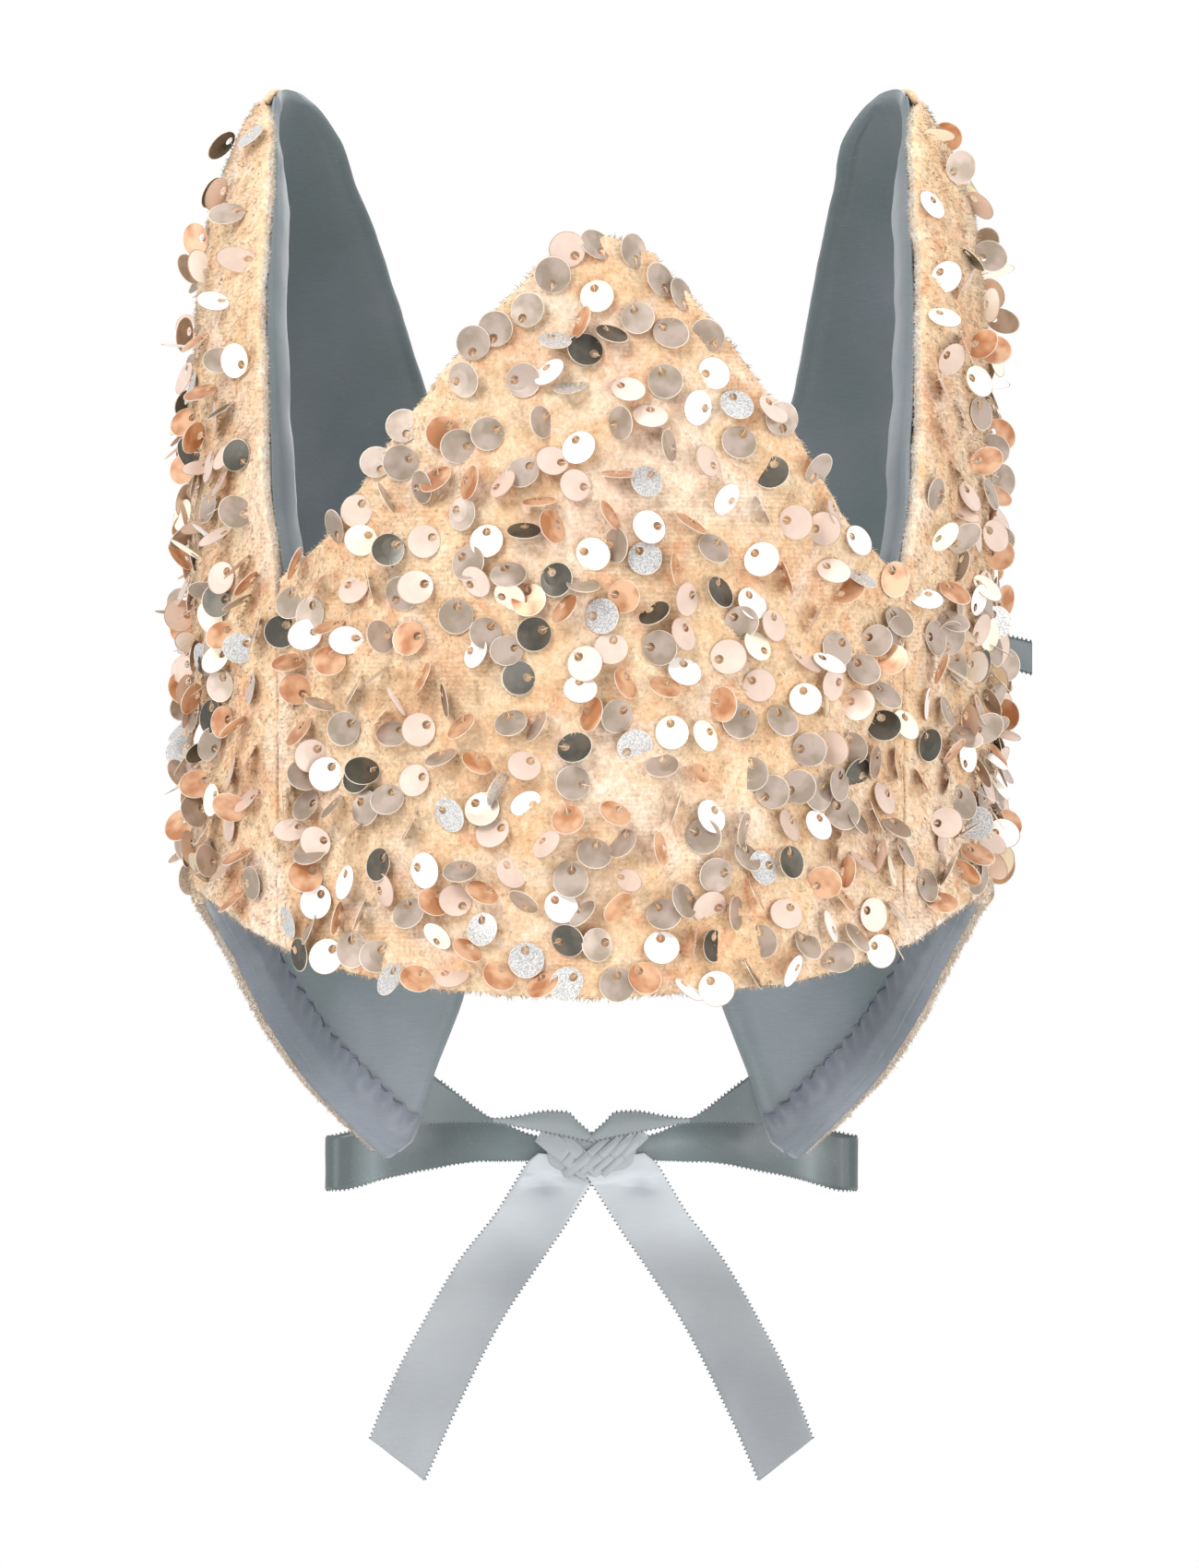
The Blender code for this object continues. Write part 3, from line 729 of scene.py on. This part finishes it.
def sequins(name, points, faces, columns, seed, spacing, first=()):
    """Sewn-on sequins over a panel, and the thread that holds each: two objects.

    spacing(across, up, height) is the distance between them in millimetres, or 0 for none.
    """
    random = np.random.default_rng(seed)
    places, normals, chosen = sampled(points, faces, SEQUIN_TRIES, random)
    rows = len(faces) // columns
    if len(first):
        u, v = np.array(first).T
        wanted = (v * rows).astype(int) * columns + (u * columns).astype(int)
        centres = points[faces[wanted]].mean(axis=1)
        a, b, c, d = (points[faces[wanted, k]] for k in range(4))
        places = np.concatenate([centres, places])
        normals = np.concatenate([unit(np.cross(c - a, d - b)), normals])
        chosen = np.concatenate([wanted, chosen])
    gap = spacing((chosen % columns) / columns, (chosen // columns) / rows, places[:, 2] / MM)
    allowed = gap > 0
    places, normals, gap = places[allowed], normals[allowed], gap[allowed] * MM
    apart = gap * random.uniform(0.68, 1.42, len(places))
    apart[:len(first)] = EDGE_SPACING
    kept = scattered(places, apart)
    places, normals, chosen = places[kept], normals[kept], chosen[kept]
    count = len(kept)
    flat, cup, template, edge_band = sequin_template()
    down = unit(np.array([0, 0, -1.0]) - normals * -normals[:, 2:])
    sideways = np.cross(normals, down)
    spin = random.normal(0, 1.15, (count, 1))
    edge_ones = np.isin(kept, np.arange(len(first)))[:, None]
    spin = np.where(edge_ones, math.pi + spin * 0.6, spin)
    ahead = unit(down * np.cos(spin) + sideways * np.sin(spin))
    # The chosen faces still count the places that were not allowed, so the share belongs to
    # another sequin for most of them. About a tenth, all over the panel, turn inwards by it.
    inward = unit(points[faces[chosen, 1]] - points[faces[chosen, 0]])
    share = ((chosen % columns + 0.5) / columns)[:, None]
    inward = np.where(share > 0.5, -inward, inward)
    leads = (ahead * inward).sum(-1, keepdims=True)
    lies_low = np.minimum(share, 1 - share) < LIES_LOW
    ahead = np.where(lies_low & (leads < 0.75), unit(ahead + inward * (1.3 - leads)), ahead)
    tilt = np.abs(random.normal(0.12, 0.42, (count, 1)))
    tilt = np.where(random.random((count, 1)) < 0.24, random.uniform(0.7, 1.15, (count, 1)), tilt)
    tilt = np.where(edge_ones, tilt * 0.3, tilt)
    tilt = np.where(lies_low, np.minimum(tilt, 0.3), tilt)
    roll = random.normal(0, 0.42, (count, 1))
    along = ahead * np.cos(tilt) + normals * np.sin(tilt)
    face = normals * np.cos(tilt) - ahead * np.sin(tilt)
    across = np.cross(face, along)
    across, face = (across * np.cos(roll) + face * np.sin(roll),
                    face * np.cos(roll) - across * np.sin(roll))
    hole = places + normals * random.uniform(0.5, 1.9, (count, 1)) * MM
    size = random.uniform(0.88, 0.98, (count, 1, 1))
    dish = random.uniform(0.0, 0.22, (count, 1, 1)) * MM
    body = (hole[:, None] + size * (flat[None, :, :1] * along[:, None]
                                    + flat[None, :, 1:] * across[:, None])
            + face[:, None] * dish * cup[None, :, None])
    vertices = np.concatenate([body, body - face[:, None] * SEQUIN_THICKNESS], 1).reshape(-1, 3)
    rows = (np.arange(count)[:, None, None] * 2 * len(flat) + template).reshape(-1, 4)
    shares = np.array([share for share, _ in TONES])
    tone = random.choice(len(TONES), count, p=shares / shares.sum())
    # Steep discs take the copper tone: partly their backs, partly a painted reflection of the
    # velvet.
    turned_up = (tilt[:, 0] > 0.7) & (random.random(count) < 0.5)
    tone[turned_up] = COPPER
    edge_tone = np.where(random.random(count) < 0.8, TAUPE, ROSE)
    tone = np.where(edge_ones[:, 0], edge_tone, tone)
    # The outer band takes the painted glint on the darker tones and the painted edge shade on rose,
    # white and cream.
    rim_slot = len(TONES) + np.isin(tone, (ROSE, WHITE, CREAM))
    slots = np.where(edge_band[None], rim_slot[:, None], tone[:, None]).ravel()
    surfaces = [surface for _, surface in TONES] + [PAINTED_RIM_GLINT, PAINTED_RIM_SHADE]
    discs = make(f"{name}_sequins", vertices, rows, surfaces, slots, flat=True)
    steps = np.array([(0.15, -1.4), (0.1, 0.1), (-0.5, 0.22), (-1.35, 0.1), (-1.8, -0.9)]) * MM
    routes = [h + np.outer(steps[:, 0], a) + np.outer(steps[:, 1], f)
              for h, a, f in zip(hole, along, face)]
    return discs, tubes(f"{name}_sequin_threads", routes, 0.11 * MM, THREAD, sides=4), count


def follow(obj):
    """A piece on a leaf: its place is baked into its mesh."""
    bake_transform(obj)


def shown_faces(faces, rows, columns, sides):
    """A shell's faces without its last rows and columns, and its roll along the named sides."""
    number = np.arange(rows * columns).reshape(rows, columns)
    parts = [faces[number[: rows - 2 * ("top" not in sides),
                          : columns - 2 * ("right" not in sides)].ravel()]]
    order = border(rows, columns)
    wanted = np.isin(order, sides)
    for ring in range(SHOWN_STEPS):
        start = rows * columns + ring * len(order)
        parts.append(faces[start: start + len(order)][wanted])
    return np.concatenate(parts)


def fringe(name, points, faces, rows, columns, seed):
    """Pale cut hairs along the ear's front edge and the wing's hem, where pile meets satin."""
    random = np.random.default_rng(seed)
    loop, rings = 2 * (rows + columns), 2
    start = rows * columns + loop * 2
    strip = faces[start: start + loop * rings]
    centre = points[strip].mean(axis=1)
    order = np.tile(border(rows, columns), rings)
    strip = strip[(order == "left") & (centre[:, 2] > 64 * MM)
                  | (order == "bottom") & (centre[:, 1] > 5 * MM)]
    root, normal, _ = sampled(points, strip, 12000, random)
    direction = unit(normal * 0.7 + random.normal(0, 0.6, root.shape))
    reach = random.uniform(0.4, 1.0, (len(root), 1)) * MM
    return hairs(name, root, direction, reach, 0.11 * MM, random, FRINGE, normal)


# Sequins set along the peak's edge, as shares of the panel's width and height.
ALONG_PEAK = ((0.515, 0.985), (0.445, 0.955), (0.40, 0.945), (0.36, 0.955), (0.315, 0.94),
              (0.56, 0.975), (0.475, 0.975), (0.42, 0.97), (0.385, 0.98), (0.60, 0.97),
              (0.635, 0.98), (0.67, 0.97), (0.33, 0.97), (0.30, 0.975), (0.235, 0.97),
              (0.19, 0.965), (0.77, 0.97), (0.82, 0.97), (0.12, 0.96))


def front_panel():
    rows, columns = FRONT_GRID
    points, faces = front_shell(3)
    shell = solid(make("front_velvet_shell", points, faces, [VELVET]), VELVET_THICKNESS)
    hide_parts("front_velvet")
    shown = shown_faces(faces, rows, columns, ("bottom", "top", "left", "right"))
    hairs = pile("front_pile", points, shown, 36000, 11)
    def spacing(across, up, height):
        gap = np.where(height > 95, 8.2, np.where(height < 0, 7.0, 7.6))
        gap = np.where((np.minimum(across, 1 - across) < 0.16) & (height < 30), 6.4, gap)
        return np.where(np.minimum(across, 1 - across) < NO_SEQUIN, 0, gap)

    discs, threads, count = sequins("front", points, faces[:rows * columns], columns, 21, spacing,
                                    ALONG_PEAK)
    for obj in (shell, hairs, discs, threads):
        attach(obj, "band")
    return count


def leaf_panel(name, side):
    rows, columns = LEAF_GRID
    seed = 30 + side
    points, faces = mirrored(*leaf_shell(side, seed), side)
    loop = border(rows, columns)
    around = np.tile(loop, (len(faces) - rows * columns) // len(loop))
    turned = points[faces[rows * columns:]].mean(axis=1)
    under = np.arange(len(turned)) >= 2 * len(loop)
    pale = (around == "left") & (turned[:, 2] > 60 * MM) & under | (around == "bottom")
    rim_faces = np.concatenate([np.zeros(rows * columns, int), pale.astype(int)])
    shell = solid(make(f"{name}_leaf_velvet", points, faces, [VELVET, FRINGE], rim_faces),
                  VELVET_THICKNESS)
    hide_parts(f"{name}_side_velvet", f"{name}_ear_velvet")
    shown = shown_faces(faces, rows, columns, ("bottom", "left"))
    hairs = pile(f"{name}_pile", points, shown, 44000, seed + 40)
    edging = fringe(f"{name}_fringe", points, faces, rows, columns, seed + 60)

    def spacing(across, up, height):
        ear = 11.5 if side > 0 else 13.5
        gap = np.where(height > 118, ear, np.where(height > 84, 9.0, 7.0))
        edge = (across > 0.93) & (height > 20) | (height > 164) | (across > 0.97) | (up < 0.03)
        return np.where(edge | (across < NO_SEQUIN), 0, gap)

    discs, threads, count = sequins(name, points, faces[:rows * columns], columns, seed + 50,
                                    spacing)
    for obj in (shell, hairs, edging, discs, threads):
        follow(obj)
    return count


# ------------------------------------------------------------------ satin lining

def front_lining():
    u, v = grid_parameters(60, 80)
    angle, z = front_outline(u, v)
    points = below(angle, z, LINING_FACE, False)
    points = drawn_in(points, {"left": 0, "right": 0, "bottom": 1.2 * MM, "top": 1.0 * MM})
    creases = 0.5 * MM * field(points, 18 * MM, 4) + 0.25 * MM * field(points, 6 * MM, 6)
    points = lifted(points, -np.clip(creases, -0.3 * MM, 0.6 * MM))
    lining = sheet("front_satin_lining", points, SATIN, thickness=LINING_THICKNESS)
    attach(lining, "band")
    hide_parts("front_lining")


def leaf_lining(name, side):
    """The lining of a leaf: it turns out over the ear's front edge, round the wire's channel."""
    rows, columns = 116, 110
    u, w = grid_parameters(rows, columns)
    angle, z = leaf_outline(u, w * 2, side)
    flat = dome(angle, z, True)
    steps = np.linalg.norm(np.diff(flat, axis=1), axis=2)
    from_front = np.concatenate([np.zeros((rows + 1, 1)), np.cumsum(steps, axis=1)], axis=1)
    from_rear = from_front[:, -1:] - from_front
    ear = smooth((z - 62 * MM) / (8 * MM))
    wander = 1 + 0.12 * field(flat, 14 * MM, 31 + side)
    below_tip = smooth((172 * MM - z) / (22 * MM))
    channel = bell(from_front, 6.4 * MM, 4.3 * MM) * wander * below_tip
    turned = bell(from_front, 0, 1.1 * MM)
    rises = np.linalg.norm(np.diff(flat, axis=0), axis=2)
    to_tip = np.concatenate([np.cumsum(rises[::-1], axis=0)[::-1], np.zeros((1, columns + 1))])
    depth = (LINING_FACE + ear * (7.0 * MM * channel - 2.9 * MM * turned)
             + 0.5 * MM * bell(from_rear, 3.5 * MM, 1.4 * MM)
             - 1.0 * MM * bell(from_rear, 0, 0.9 * MM))
    depth = np.minimum(depth, LINING_FACE + 9 * MM * smooth((to_tip + 0.6 * MM) / (6 * MM))
                       - 2.4 * MM * bell(to_tip, 0, 1.4 * MM))
    points = below(angle, z, depth, True)
    creases = 0.45 * MM * field(points, 22 * MM, 7 + side) + 0.2 * MM * field(points, 7 * MM, 9)
    points = lifted(points, -np.clip(creases, -0.3 * MM, 0.6 * MM))
    points = drawn_in(points, {"left": 0.2 * MM * ear[:, 0], "right": 0, "bottom": 1.4 * MM,
                               "top": 0})
    lining = sheet(f"{name}_satin_lining", points, SATIN, side, LINING_THICKNESS)
    # A painted highlight along the ridge of the wire's channel, kept in the pale attribute.
    painted_ridge_highlight = ear * bell(from_front, 4.4 * MM, 2.6 * MM)
    lining.data.attributes.new("pale", "FLOAT", "POINT").data.foreach_set(
        "value", painted_ridge_highlight.astype(np.float32).ravel())
    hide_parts(f"{name}_side_lining", f"{name}_ear_lining")
    follow(lining)


def facing(node, body, low, high, leaf, side):
    """The strip that faces the hem inside: gathered a little, with a row of stitches.

    v runs from the edge that turns down over the hem, at 0, to the stitched one, at 1.
    """
    rows, columns = 14, 220
    u, v = grid_parameters(rows, columns)
    angle = between(low, high, u)
    held = np.minimum(np.abs(angle[0]), 144.5)  # the hem's lean is read short of the nape
    run = np.linalg.norm(dome(held + 0.5, 0 * held, leaf) - dome(held - 0.5, 0 * held, leaf),
                         axis=1)
    rise = (through(HEM, held + 0.5) - through(HEM, np.abs(held - 0.5))) * MM
    lean = (np.arctan(rise / run) * np.sign(angle[0]))[None]
    along = np.abs(angle) * 1.6 * MM
    pucker = np.sin(along / (3.6 * MM) * 2 * math.pi + 2.0 * np.sin(along / (11 * MM)))
    wrapped = bell(v, 0, 0.11)
    lip = 0.3 if leaf else -0.3
    inwards = 1.6 * MM * (1 - wrapped) - lip * MM * wrapped + v * FACING_WIDTH
    inwards = inwards + 0.35 * MM * pucker * v
    place_angle = angle - np.degrees(inwards * np.sin(lean) / HALF_DEPTH)
    z = through(HEM, np.abs(angle)) * MM + inwards * np.cos(lean)
    crown = np.sin(np.pi * v) * 0.7 * MM
    depth = FACING_FACE - 3.0 * MM * wrapped + crown + 0.28 * MM * pucker * smooth((v - 0.35) / 0.5)
    points = below(place_angle, z, depth, leaf)
    points = lifted(points, -0.25 * MM * field(points, 5 * MM, 12))
    strip = sheet(f"{node}_satin", points, FACING, side, FACING_THICKNESS)
    row, inside = points[-2], -grid_normals(points)[-2]
    dips = np.array([[-0.1], [0.25], [0.25], [-0.1]]) * MM
    stitches = []
    for k in range(4, columns - 6, 6):
        at = [k, k + 1, k + 3, k + 4]
        stitches.append((row[at] + inside[at] * dips) * np.array([side, 1, 1]))
    seam = tubes(f"{node}_stitches", stitches, 0.14 * MM, STITCH)
    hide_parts(node)
    for obj in (strip, seam):
        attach(obj, body)


# ------------------------------------------------------------------ ribbon

def edge_line(points, at):
    """A line through rows of (share of the way, coordinates), read at the share."""
    return np.stack([through([(p[0], p[k]) for p in points], at)
                     for k in range(1, len(points[0]))], -1)


def picots(name, points, side=1):
    """The fine loops along both edges of a ribbon."""
    routes = []
    for edge, inner in ((points[0], points[1]), (points[-1], points[-2])):
        lengths = np.concatenate([[0], np.cumsum(np.linalg.norm(np.diff(edge, axis=0), axis=1))])
        stations = np.arange(0.3 * MM, lengths[-1], PICOT_PITCH)
        out = unit(edge - inner)
        for station in stations:
            at, outward = (np.array([np.interp(station, lengths, line[:, k]) for k in range(3)])
                           for line in (edge, out))
            route = at + np.outer(np.array([-0.25, 0.15, 0.38]) * MM, outward)
            routes.append(route * np.array([side, 1, 1]))
    return tubes(name, routes, 0.22 * MM, PICOT, sides=4)


# A tail's two edges: (share of the way, x, y from the knot, z) in millimetres. It starts at a
# share below 0, inside the knot.
TAIL_OUTER = ((-0.12, -12.0, 0, -60.2), (-0.06, -14.4, 0, -62.3), (0.02, -16.8, 0, -66.2),
              (0.16, -21.3, 0, -73.5), (0.35, -29.8, 0, -84.5), (0.55, -37.2, 0, -97),
              (0.78, -44.5, 0, -111), (1, -50.2, 0, -125))
TAIL_INNER = ((-0.12, 3.0, 0, -62.0), (-0.06, 1.6, 0, -64.6), (0.02, -0.9, 0, -68.3),
              (0.16, -6.4, 0, -77), (0.35, -13.2, 0, -87), (0.55, -21, 0, -99),
              (0.78, -30.2, 0, -117), (1, -38, 0, -134.5))


def tail(name, side):
    t, v = grid_parameters(20, 130)
    t = between(TAIL_OUTER[0][0], 1, t)
    points = between(edge_line(TAIL_OUTER, t), edge_line(TAIL_INNER, t), v[..., None]) * MM
    ripple = (-0.5 * np.sin(2 * math.pi * t) * (1 - 0.3 * v) + 0.5 * np.sin(math.pi * v)
              - 1.4 * bell(t, 0.16, 0.10))
    dent = bell(t, 0.035, 0.035) * bell(v, 0.40, 0.20)
    points[..., 1] += KNOT[1] + (ripple - 1.4 + 2.4 * dent - 0.3 * side * (t < 0)) * MM
    points = points + 0.12 * MM * field(points, 9 * MM, 15 + side)[..., None]
    strip = sheet(f"{name}_tail_ribbon", points, TAIL_RIBBON, -side)
    edging = picots(f"{name}_tail_selvedge", points, -side)
    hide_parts(f"{name}_ribbon_tail")
    for obj in (strip, edging):
        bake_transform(obj)


LOOP_TOP = ((6, -57.6), (11, -57.0), (15, -56.0), (21.4, -53.6), (28, -53.0), (36, -53.2),
            (48, -54.8), (57, -56.6), (60.5, -57.4))
LOOP_LOW = ((6, -61.4), (13.4, -61.8), (20, -62.0), (27, -62.3), (36, -63.9), (48, -66.6),
            (57, -69.1), (60.5, -69.2))


def bow_loop(name, side):
    inner_end, turn_at, end_radius, knot_radius, sweep, bend_share = 6.5, 56.5, 4.0, 1.2, 0.33, 0.1
    t, v = grid_parameters(14, 170)
    near = np.minimum(t, 1 - t) / (0.5 - bend_share)
    along, bend = np.clip(near, 0, 1), (t - 0.5) / bend_share * math.pi / 2
    x = np.where(near < 1, between(inner_end, turn_at, along),
                 turn_at + end_radius * np.cos(bend))
    spread = between(knot_radius, end_radius, np.sin(along * math.pi / 2))
    offset = np.where(near < 1, np.where(t < 0.5, -1, 1) * spread, end_radius * np.sin(bend))
    top, low = through(LOOP_TOP, x), through(LOOP_LOW, x)
    belly = (0.7 * np.sin(math.pi * v) * np.sin(math.pi * along)
             + 0.9 * np.sin(x / 60 * 4.4 * math.pi) * smooth(along * 4))
    y = 102.4 + (x - 11.5) * sweep + offset - belly * np.where(t < 0.5, 1, -1)
    points = np.stack([x, y, between(low, top, v)], -1) * MM
    points = points + 0.15 * MM * field(points, 10 * MM, 17 + side)[..., None]
    strip = sheet(f"{name}_loop_ribbon", points, LOOP_RIBBON, side)
    edging = picots(f"{name}_loop_selvedge", points, side)
    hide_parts(f"{name}_bow_loop")
    for obj in (strip, edging):
        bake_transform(obj)


# A strap's two edges from the leaf to the knot: (share of the way, x, y, z) in millimetres.
STRAP_TOP = ((0, 40, 84.2, -38.5), (0.22, 34.5, 86.9, -43.2), (0.38, 29.5, 89.8, -47.2),
             (0.5, 25.6, 92.2, -50.3), (0.6, 22.0, 93.6, -52.3), (0.72, 16.5, 94.4, -51.7),
             (0.84, 9.5, 94.6, -50.6), (0.91, 5.6, 94.6, -50.8), (0.96, 2.9, 94.6, -53.2),
             (1, -0.4, 94.8, -56.0))
STRAP_LOW = ((0, 43, 82.6, -53.6), (0.22, 37.0, 85.8, -53.4), (0.38, 31.0, 89.9, -53.2),
             (0.5, 26.2, 92.8, -53.2), (0.6, 21.6, 94.4, -53.3), (0.72, 16.0, 95.2, -54.3),
             (0.84, 8.8, 95.4, -55.7), (0.91, 5.0, 95.4, -56.5), (0.96, 2.6, 95.3, -57.0),
             (1, -0.6, 95.2, -57.7))


def strap(name, side):
    t, v = grid_parameters(12, 110)
    points = between(edge_line(STRAP_LOW, t), edge_line(STRAP_TOP, t), v[..., None]) * MM
    swell = np.sin(math.pi * v) * smooth((t - 0.6) / 0.15)
    points[..., 1] -= 0.7 * MM * swell
    strip = sheet(f"{name}_strap_ribbon", points, STRAP_RIBBON, side)
    # The hump near the knot takes a paler copy of the ribbon: painted light.
    strip.data.materials.append(HUMP_RIBBON)
    pale = np.tile(np.arange(110) > 64, 12).astype(np.int32)
    strip.data.polygons.foreach_set("material_index", pale)
    edging = picots(f"{name}_strap_selvedge", points[:, 26:], side)
    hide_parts(f"{name}_ribbon_strap")
    for obj in (strip, edging):
        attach(obj, f"{name}_side")


# The folds over the knot: shift along it, slant, half width, how far they stand out.
KNOT_FOLDS = ((-5.6, -1.25, 2.2, 0.1), (-2.6, -1.1, 1.6, 0.4), (-0.4, 1.25, 1.15, 1.0),
              (2.1, 1.25, 1.05, 1.3), (4.6, 1.2, 1.1, 1.0), (7.0, 1.1, 1.2, 0.5))


def knot():
    """The knot: a soft core with the ribbon wrapped over it slantwise."""
    turn, rise = grid_parameters(24, 48)
    theta, phi = rise * math.pi - math.pi / 2, turn * 2 * math.pi
    ball = np.stack([np.cos(theta) * np.cos(phi), np.cos(theta) * np.sin(phi), np.sin(theta)], -1)
    ball = np.sign(ball) * np.abs(ball) ** 0.75
    points = KNOT + (np.array([0, 0, -0.6]) + ball * np.array([10.2, 3.0, 4.4])) * MM
    core = make("knot_core", points.reshape(-1, 3), grid_faces(24, 48), [KNOT_RIBBON])
    merge(core)
    wraps = []
    for k, (shift, slant, width, stand) in enumerate(KNOT_FOLDS):
        t, v = grid_parameters(8, 64)
        around = t * 2 * math.pi
        height = np.sin(around) * 4.7
        line = np.stack([shift + height * slant, -(3.2 + stand) * np.cos(around), height - 0.6],
                        -1)
        reach = unit(np.array([1.0, 0, -slant])) * width
        fold_points = KNOT + (line + reach * (2 * v - 1)[..., None]) * MM
        bulge = (1 - (2 * v - 1) ** 2)[..., None] * 0.45 * MM
        fold_points = fold_points + unit(line * np.array([0, 1, 1])) * bulge
        wraps.append(sheet(f"knot_wrap_{k + 1}", fold_points, KNOT_RIBBON))
    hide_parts("ribbon_knot")
    for obj in (core, *wraps):
        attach(obj, "left_side")


def side_tab():
    u, v = grid_parameters(10, 24)
    root = dome(np.array([97.0]), np.array([52.5 * MM]), True)[0]
    out = unit(np.array([0.95, 0.31, 0]))
    points = (root + out * ((0.5 + 11 * u) * MM)[..., None]
              + np.stack([0 * u, 0.2 * MM * np.sin(v * math.pi),
                          (v - 0.5) * 7 * MM - 1.6 * MM * u * u], -1))
    tab = sheet("side_tab_ribbon", points, STRAP_RIBBON, thickness=0.9 * MM, flip=False)
    edging = picots("side_tab_selvedge", points)
    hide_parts("side_tab")
    for obj in (tab, edging):
        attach(obj, "left_side")


# ------------------------------------------------------------------ hidden layers

def inner_layers():
    felt = Surface("interlining_felt", Roughness=0.95, Sheen_Weight=0.2)
    tone = felt.ramp(felt.noise(0.002, 4, 0.7), (0.35, linear(214, 211, 204)),
                     (0.65, linear(236, 234, 228)))
    felt = felt.finish(tone, felt.bump(felt.noise(0.0007, 3), 0.4, 0.0003))
    steel = Surface("ear_wire_steel", Metallic=1.0, Roughness=0.28)
    drawn = steel.noise(1.0, 2, place=steel.stretched((4000, 4000, 90)))
    steel = steel.finish(steel.ramp(drawn, (0.3, linear(150, 150, 154)),
                                    (0.7, linear(196, 197, 200))),
                         steel.bump(drawn, 0.15, 0.0001))
    for node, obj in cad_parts.items():
        finish = felt if "interlining" in node else steel if "wire" in node else None
        if finish:
            for slot in obj.material_slots:
                slot.material = finish


# ------------------------------------------------------------------ camera, light and floor

SENSOR = 36
CAMERA_DISTANCE = 2.2
VIEW_WIDTH = 0.26
FLOOR_SIDES = 96
FLOOR_MIDDLE = (0, 0.02, -0.20)

# Each lamp: its name, its place, its size and its power.
LAMPS = (("key", (-0.7, -1.3, 0.9), 0.7, 13), ("fill", (0.9, -1.3, -0.1), 0.9, 8),
         ("left_side", (-1.3, -0.5, 0.1), 0.8, 5), ("right_side", (1.3, -0.5, 0.1), 0.8, 4),
         ("top", (0.1, 0.2, 1.3), 0.9, 6), ("back", (0.2, 1.4, 0.5), 0.9, 6))


def studio():
    scene = bpy.context.scene
    scene.view_settings.view_transform = "Standard"
    camera = bpy.data.cameras.new("camera")
    camera.sensor_fit = "HORIZONTAL"
    camera.sensor_width = SENSOR
    camera.lens = SENSOR * CAMERA_DISTANCE / VIEW_WIDTH
    camera.clip_start = 0.05
    view = bpy.data.objects.new("camera", camera)
    view.location = (0.0018, -CAMERA_DISTANCE, 0.0234)
    view.rotation_euler = (math.pi / 2, 0, 0)
    scene.collection.objects.link(view)
    scene.camera = view

    world = bpy.data.worlds.new("studio")
    world.use_nodes = True
    scene.world = world
    tree = world.node_tree
    tree.nodes.clear()
    place = add_node(tree, "ShaderNodeTexCoord").outputs["Generated"]
    up = add_node(tree, "ShaderNodeSeparateXYZ", {0: place}).outputs["Z"]
    share = add_node(tree, "ShaderNodeMapRange", {"Value": up, "From Min": -1}).outputs[0]
    ramp = add_node(tree, "ShaderNodeValToRGB", {0: share})
    for element, (position, value) in zip(ramp.color_ramp.elements, ((0.2, 0.42), (0.85, 1.0))):
        element.position = position
        element.color = (value, value * 0.995, value * 0.985, 1)
    soft = add_node(tree, "ShaderNodeBackground", {0: ramp.outputs[0], 1: 0.85}).outputs[0]
    seen = add_node(tree, "ShaderNodeBackground", {0: (1, 1, 1, 1)}).outputs[0]
    direct = add_node(tree, "ShaderNodeLightPath").outputs["Is Camera Ray"]
    join = add_node(tree, "ShaderNodeMixShader", {0: direct, 1: soft, 2: seen}).outputs[0]
    add_node(tree, "ShaderNodeOutputWorld", {0: join})

    for name, place, size, power in LAMPS:
        lamp = bpy.data.lights.new(name, "AREA")
        lamp.shape = "DISK"
        lamp.size = size
        lamp.energy = power
        light = bpy.data.objects.new(name, lamp)
        light.location = place
        light.rotation_euler = (-Vector(place)).to_track_quat("-Z", "Y").to_euler()
        scene.collection.objects.link(light)

    turns = np.linspace(0, 2 * math.pi, FLOOR_SIDES, endpoint=False)
    ring = np.stack([np.cos(turns), np.sin(turns), 0 * turns], -1)
    rings = [ring * radius + np.array(FLOOR_MIDDLE) for radius in (0.02, 0.3, 0.6)]
    number = np.arange(FLOOR_SIDES * 3).reshape(3, FLOOR_SIDES)
    faces = [np.stack([number[k], number[k + 1], np.roll(number[k + 1], -1),
                       np.roll(number[k], -1)], -1) for k in range(2)]
    pale = Surface("floor_pale", Roughness=0.9)
    pale = pale.finish(pale.ramp(pale.noise(0.4, 2), (0.3, linear(240, 240, 238)),
                                 (0.7, linear(246, 246, 245))))
    floor = make("floor", np.concatenate(rings), np.concatenate(faces), [pale])


total = front_panel()
for name, side in SIDES:
    total += leaf_panel(name, side)
    leaf_lining(name, side)
    facing(f"{name}_hem_facing", f"{name}_side", SEAM_ANGLE + 2.2, 147.4, True, side)
    strap(name, side)
    bow_loop(name, side)
    tail(name, side)
front_lining()
facing("front_hem_facing", "band", -SEAM_ANGLE + 0.4, SEAM_ANGLE - 0.4, False, 1)
knot()
side_tab()
inner_layers()
studio()
print("sequins:", total)
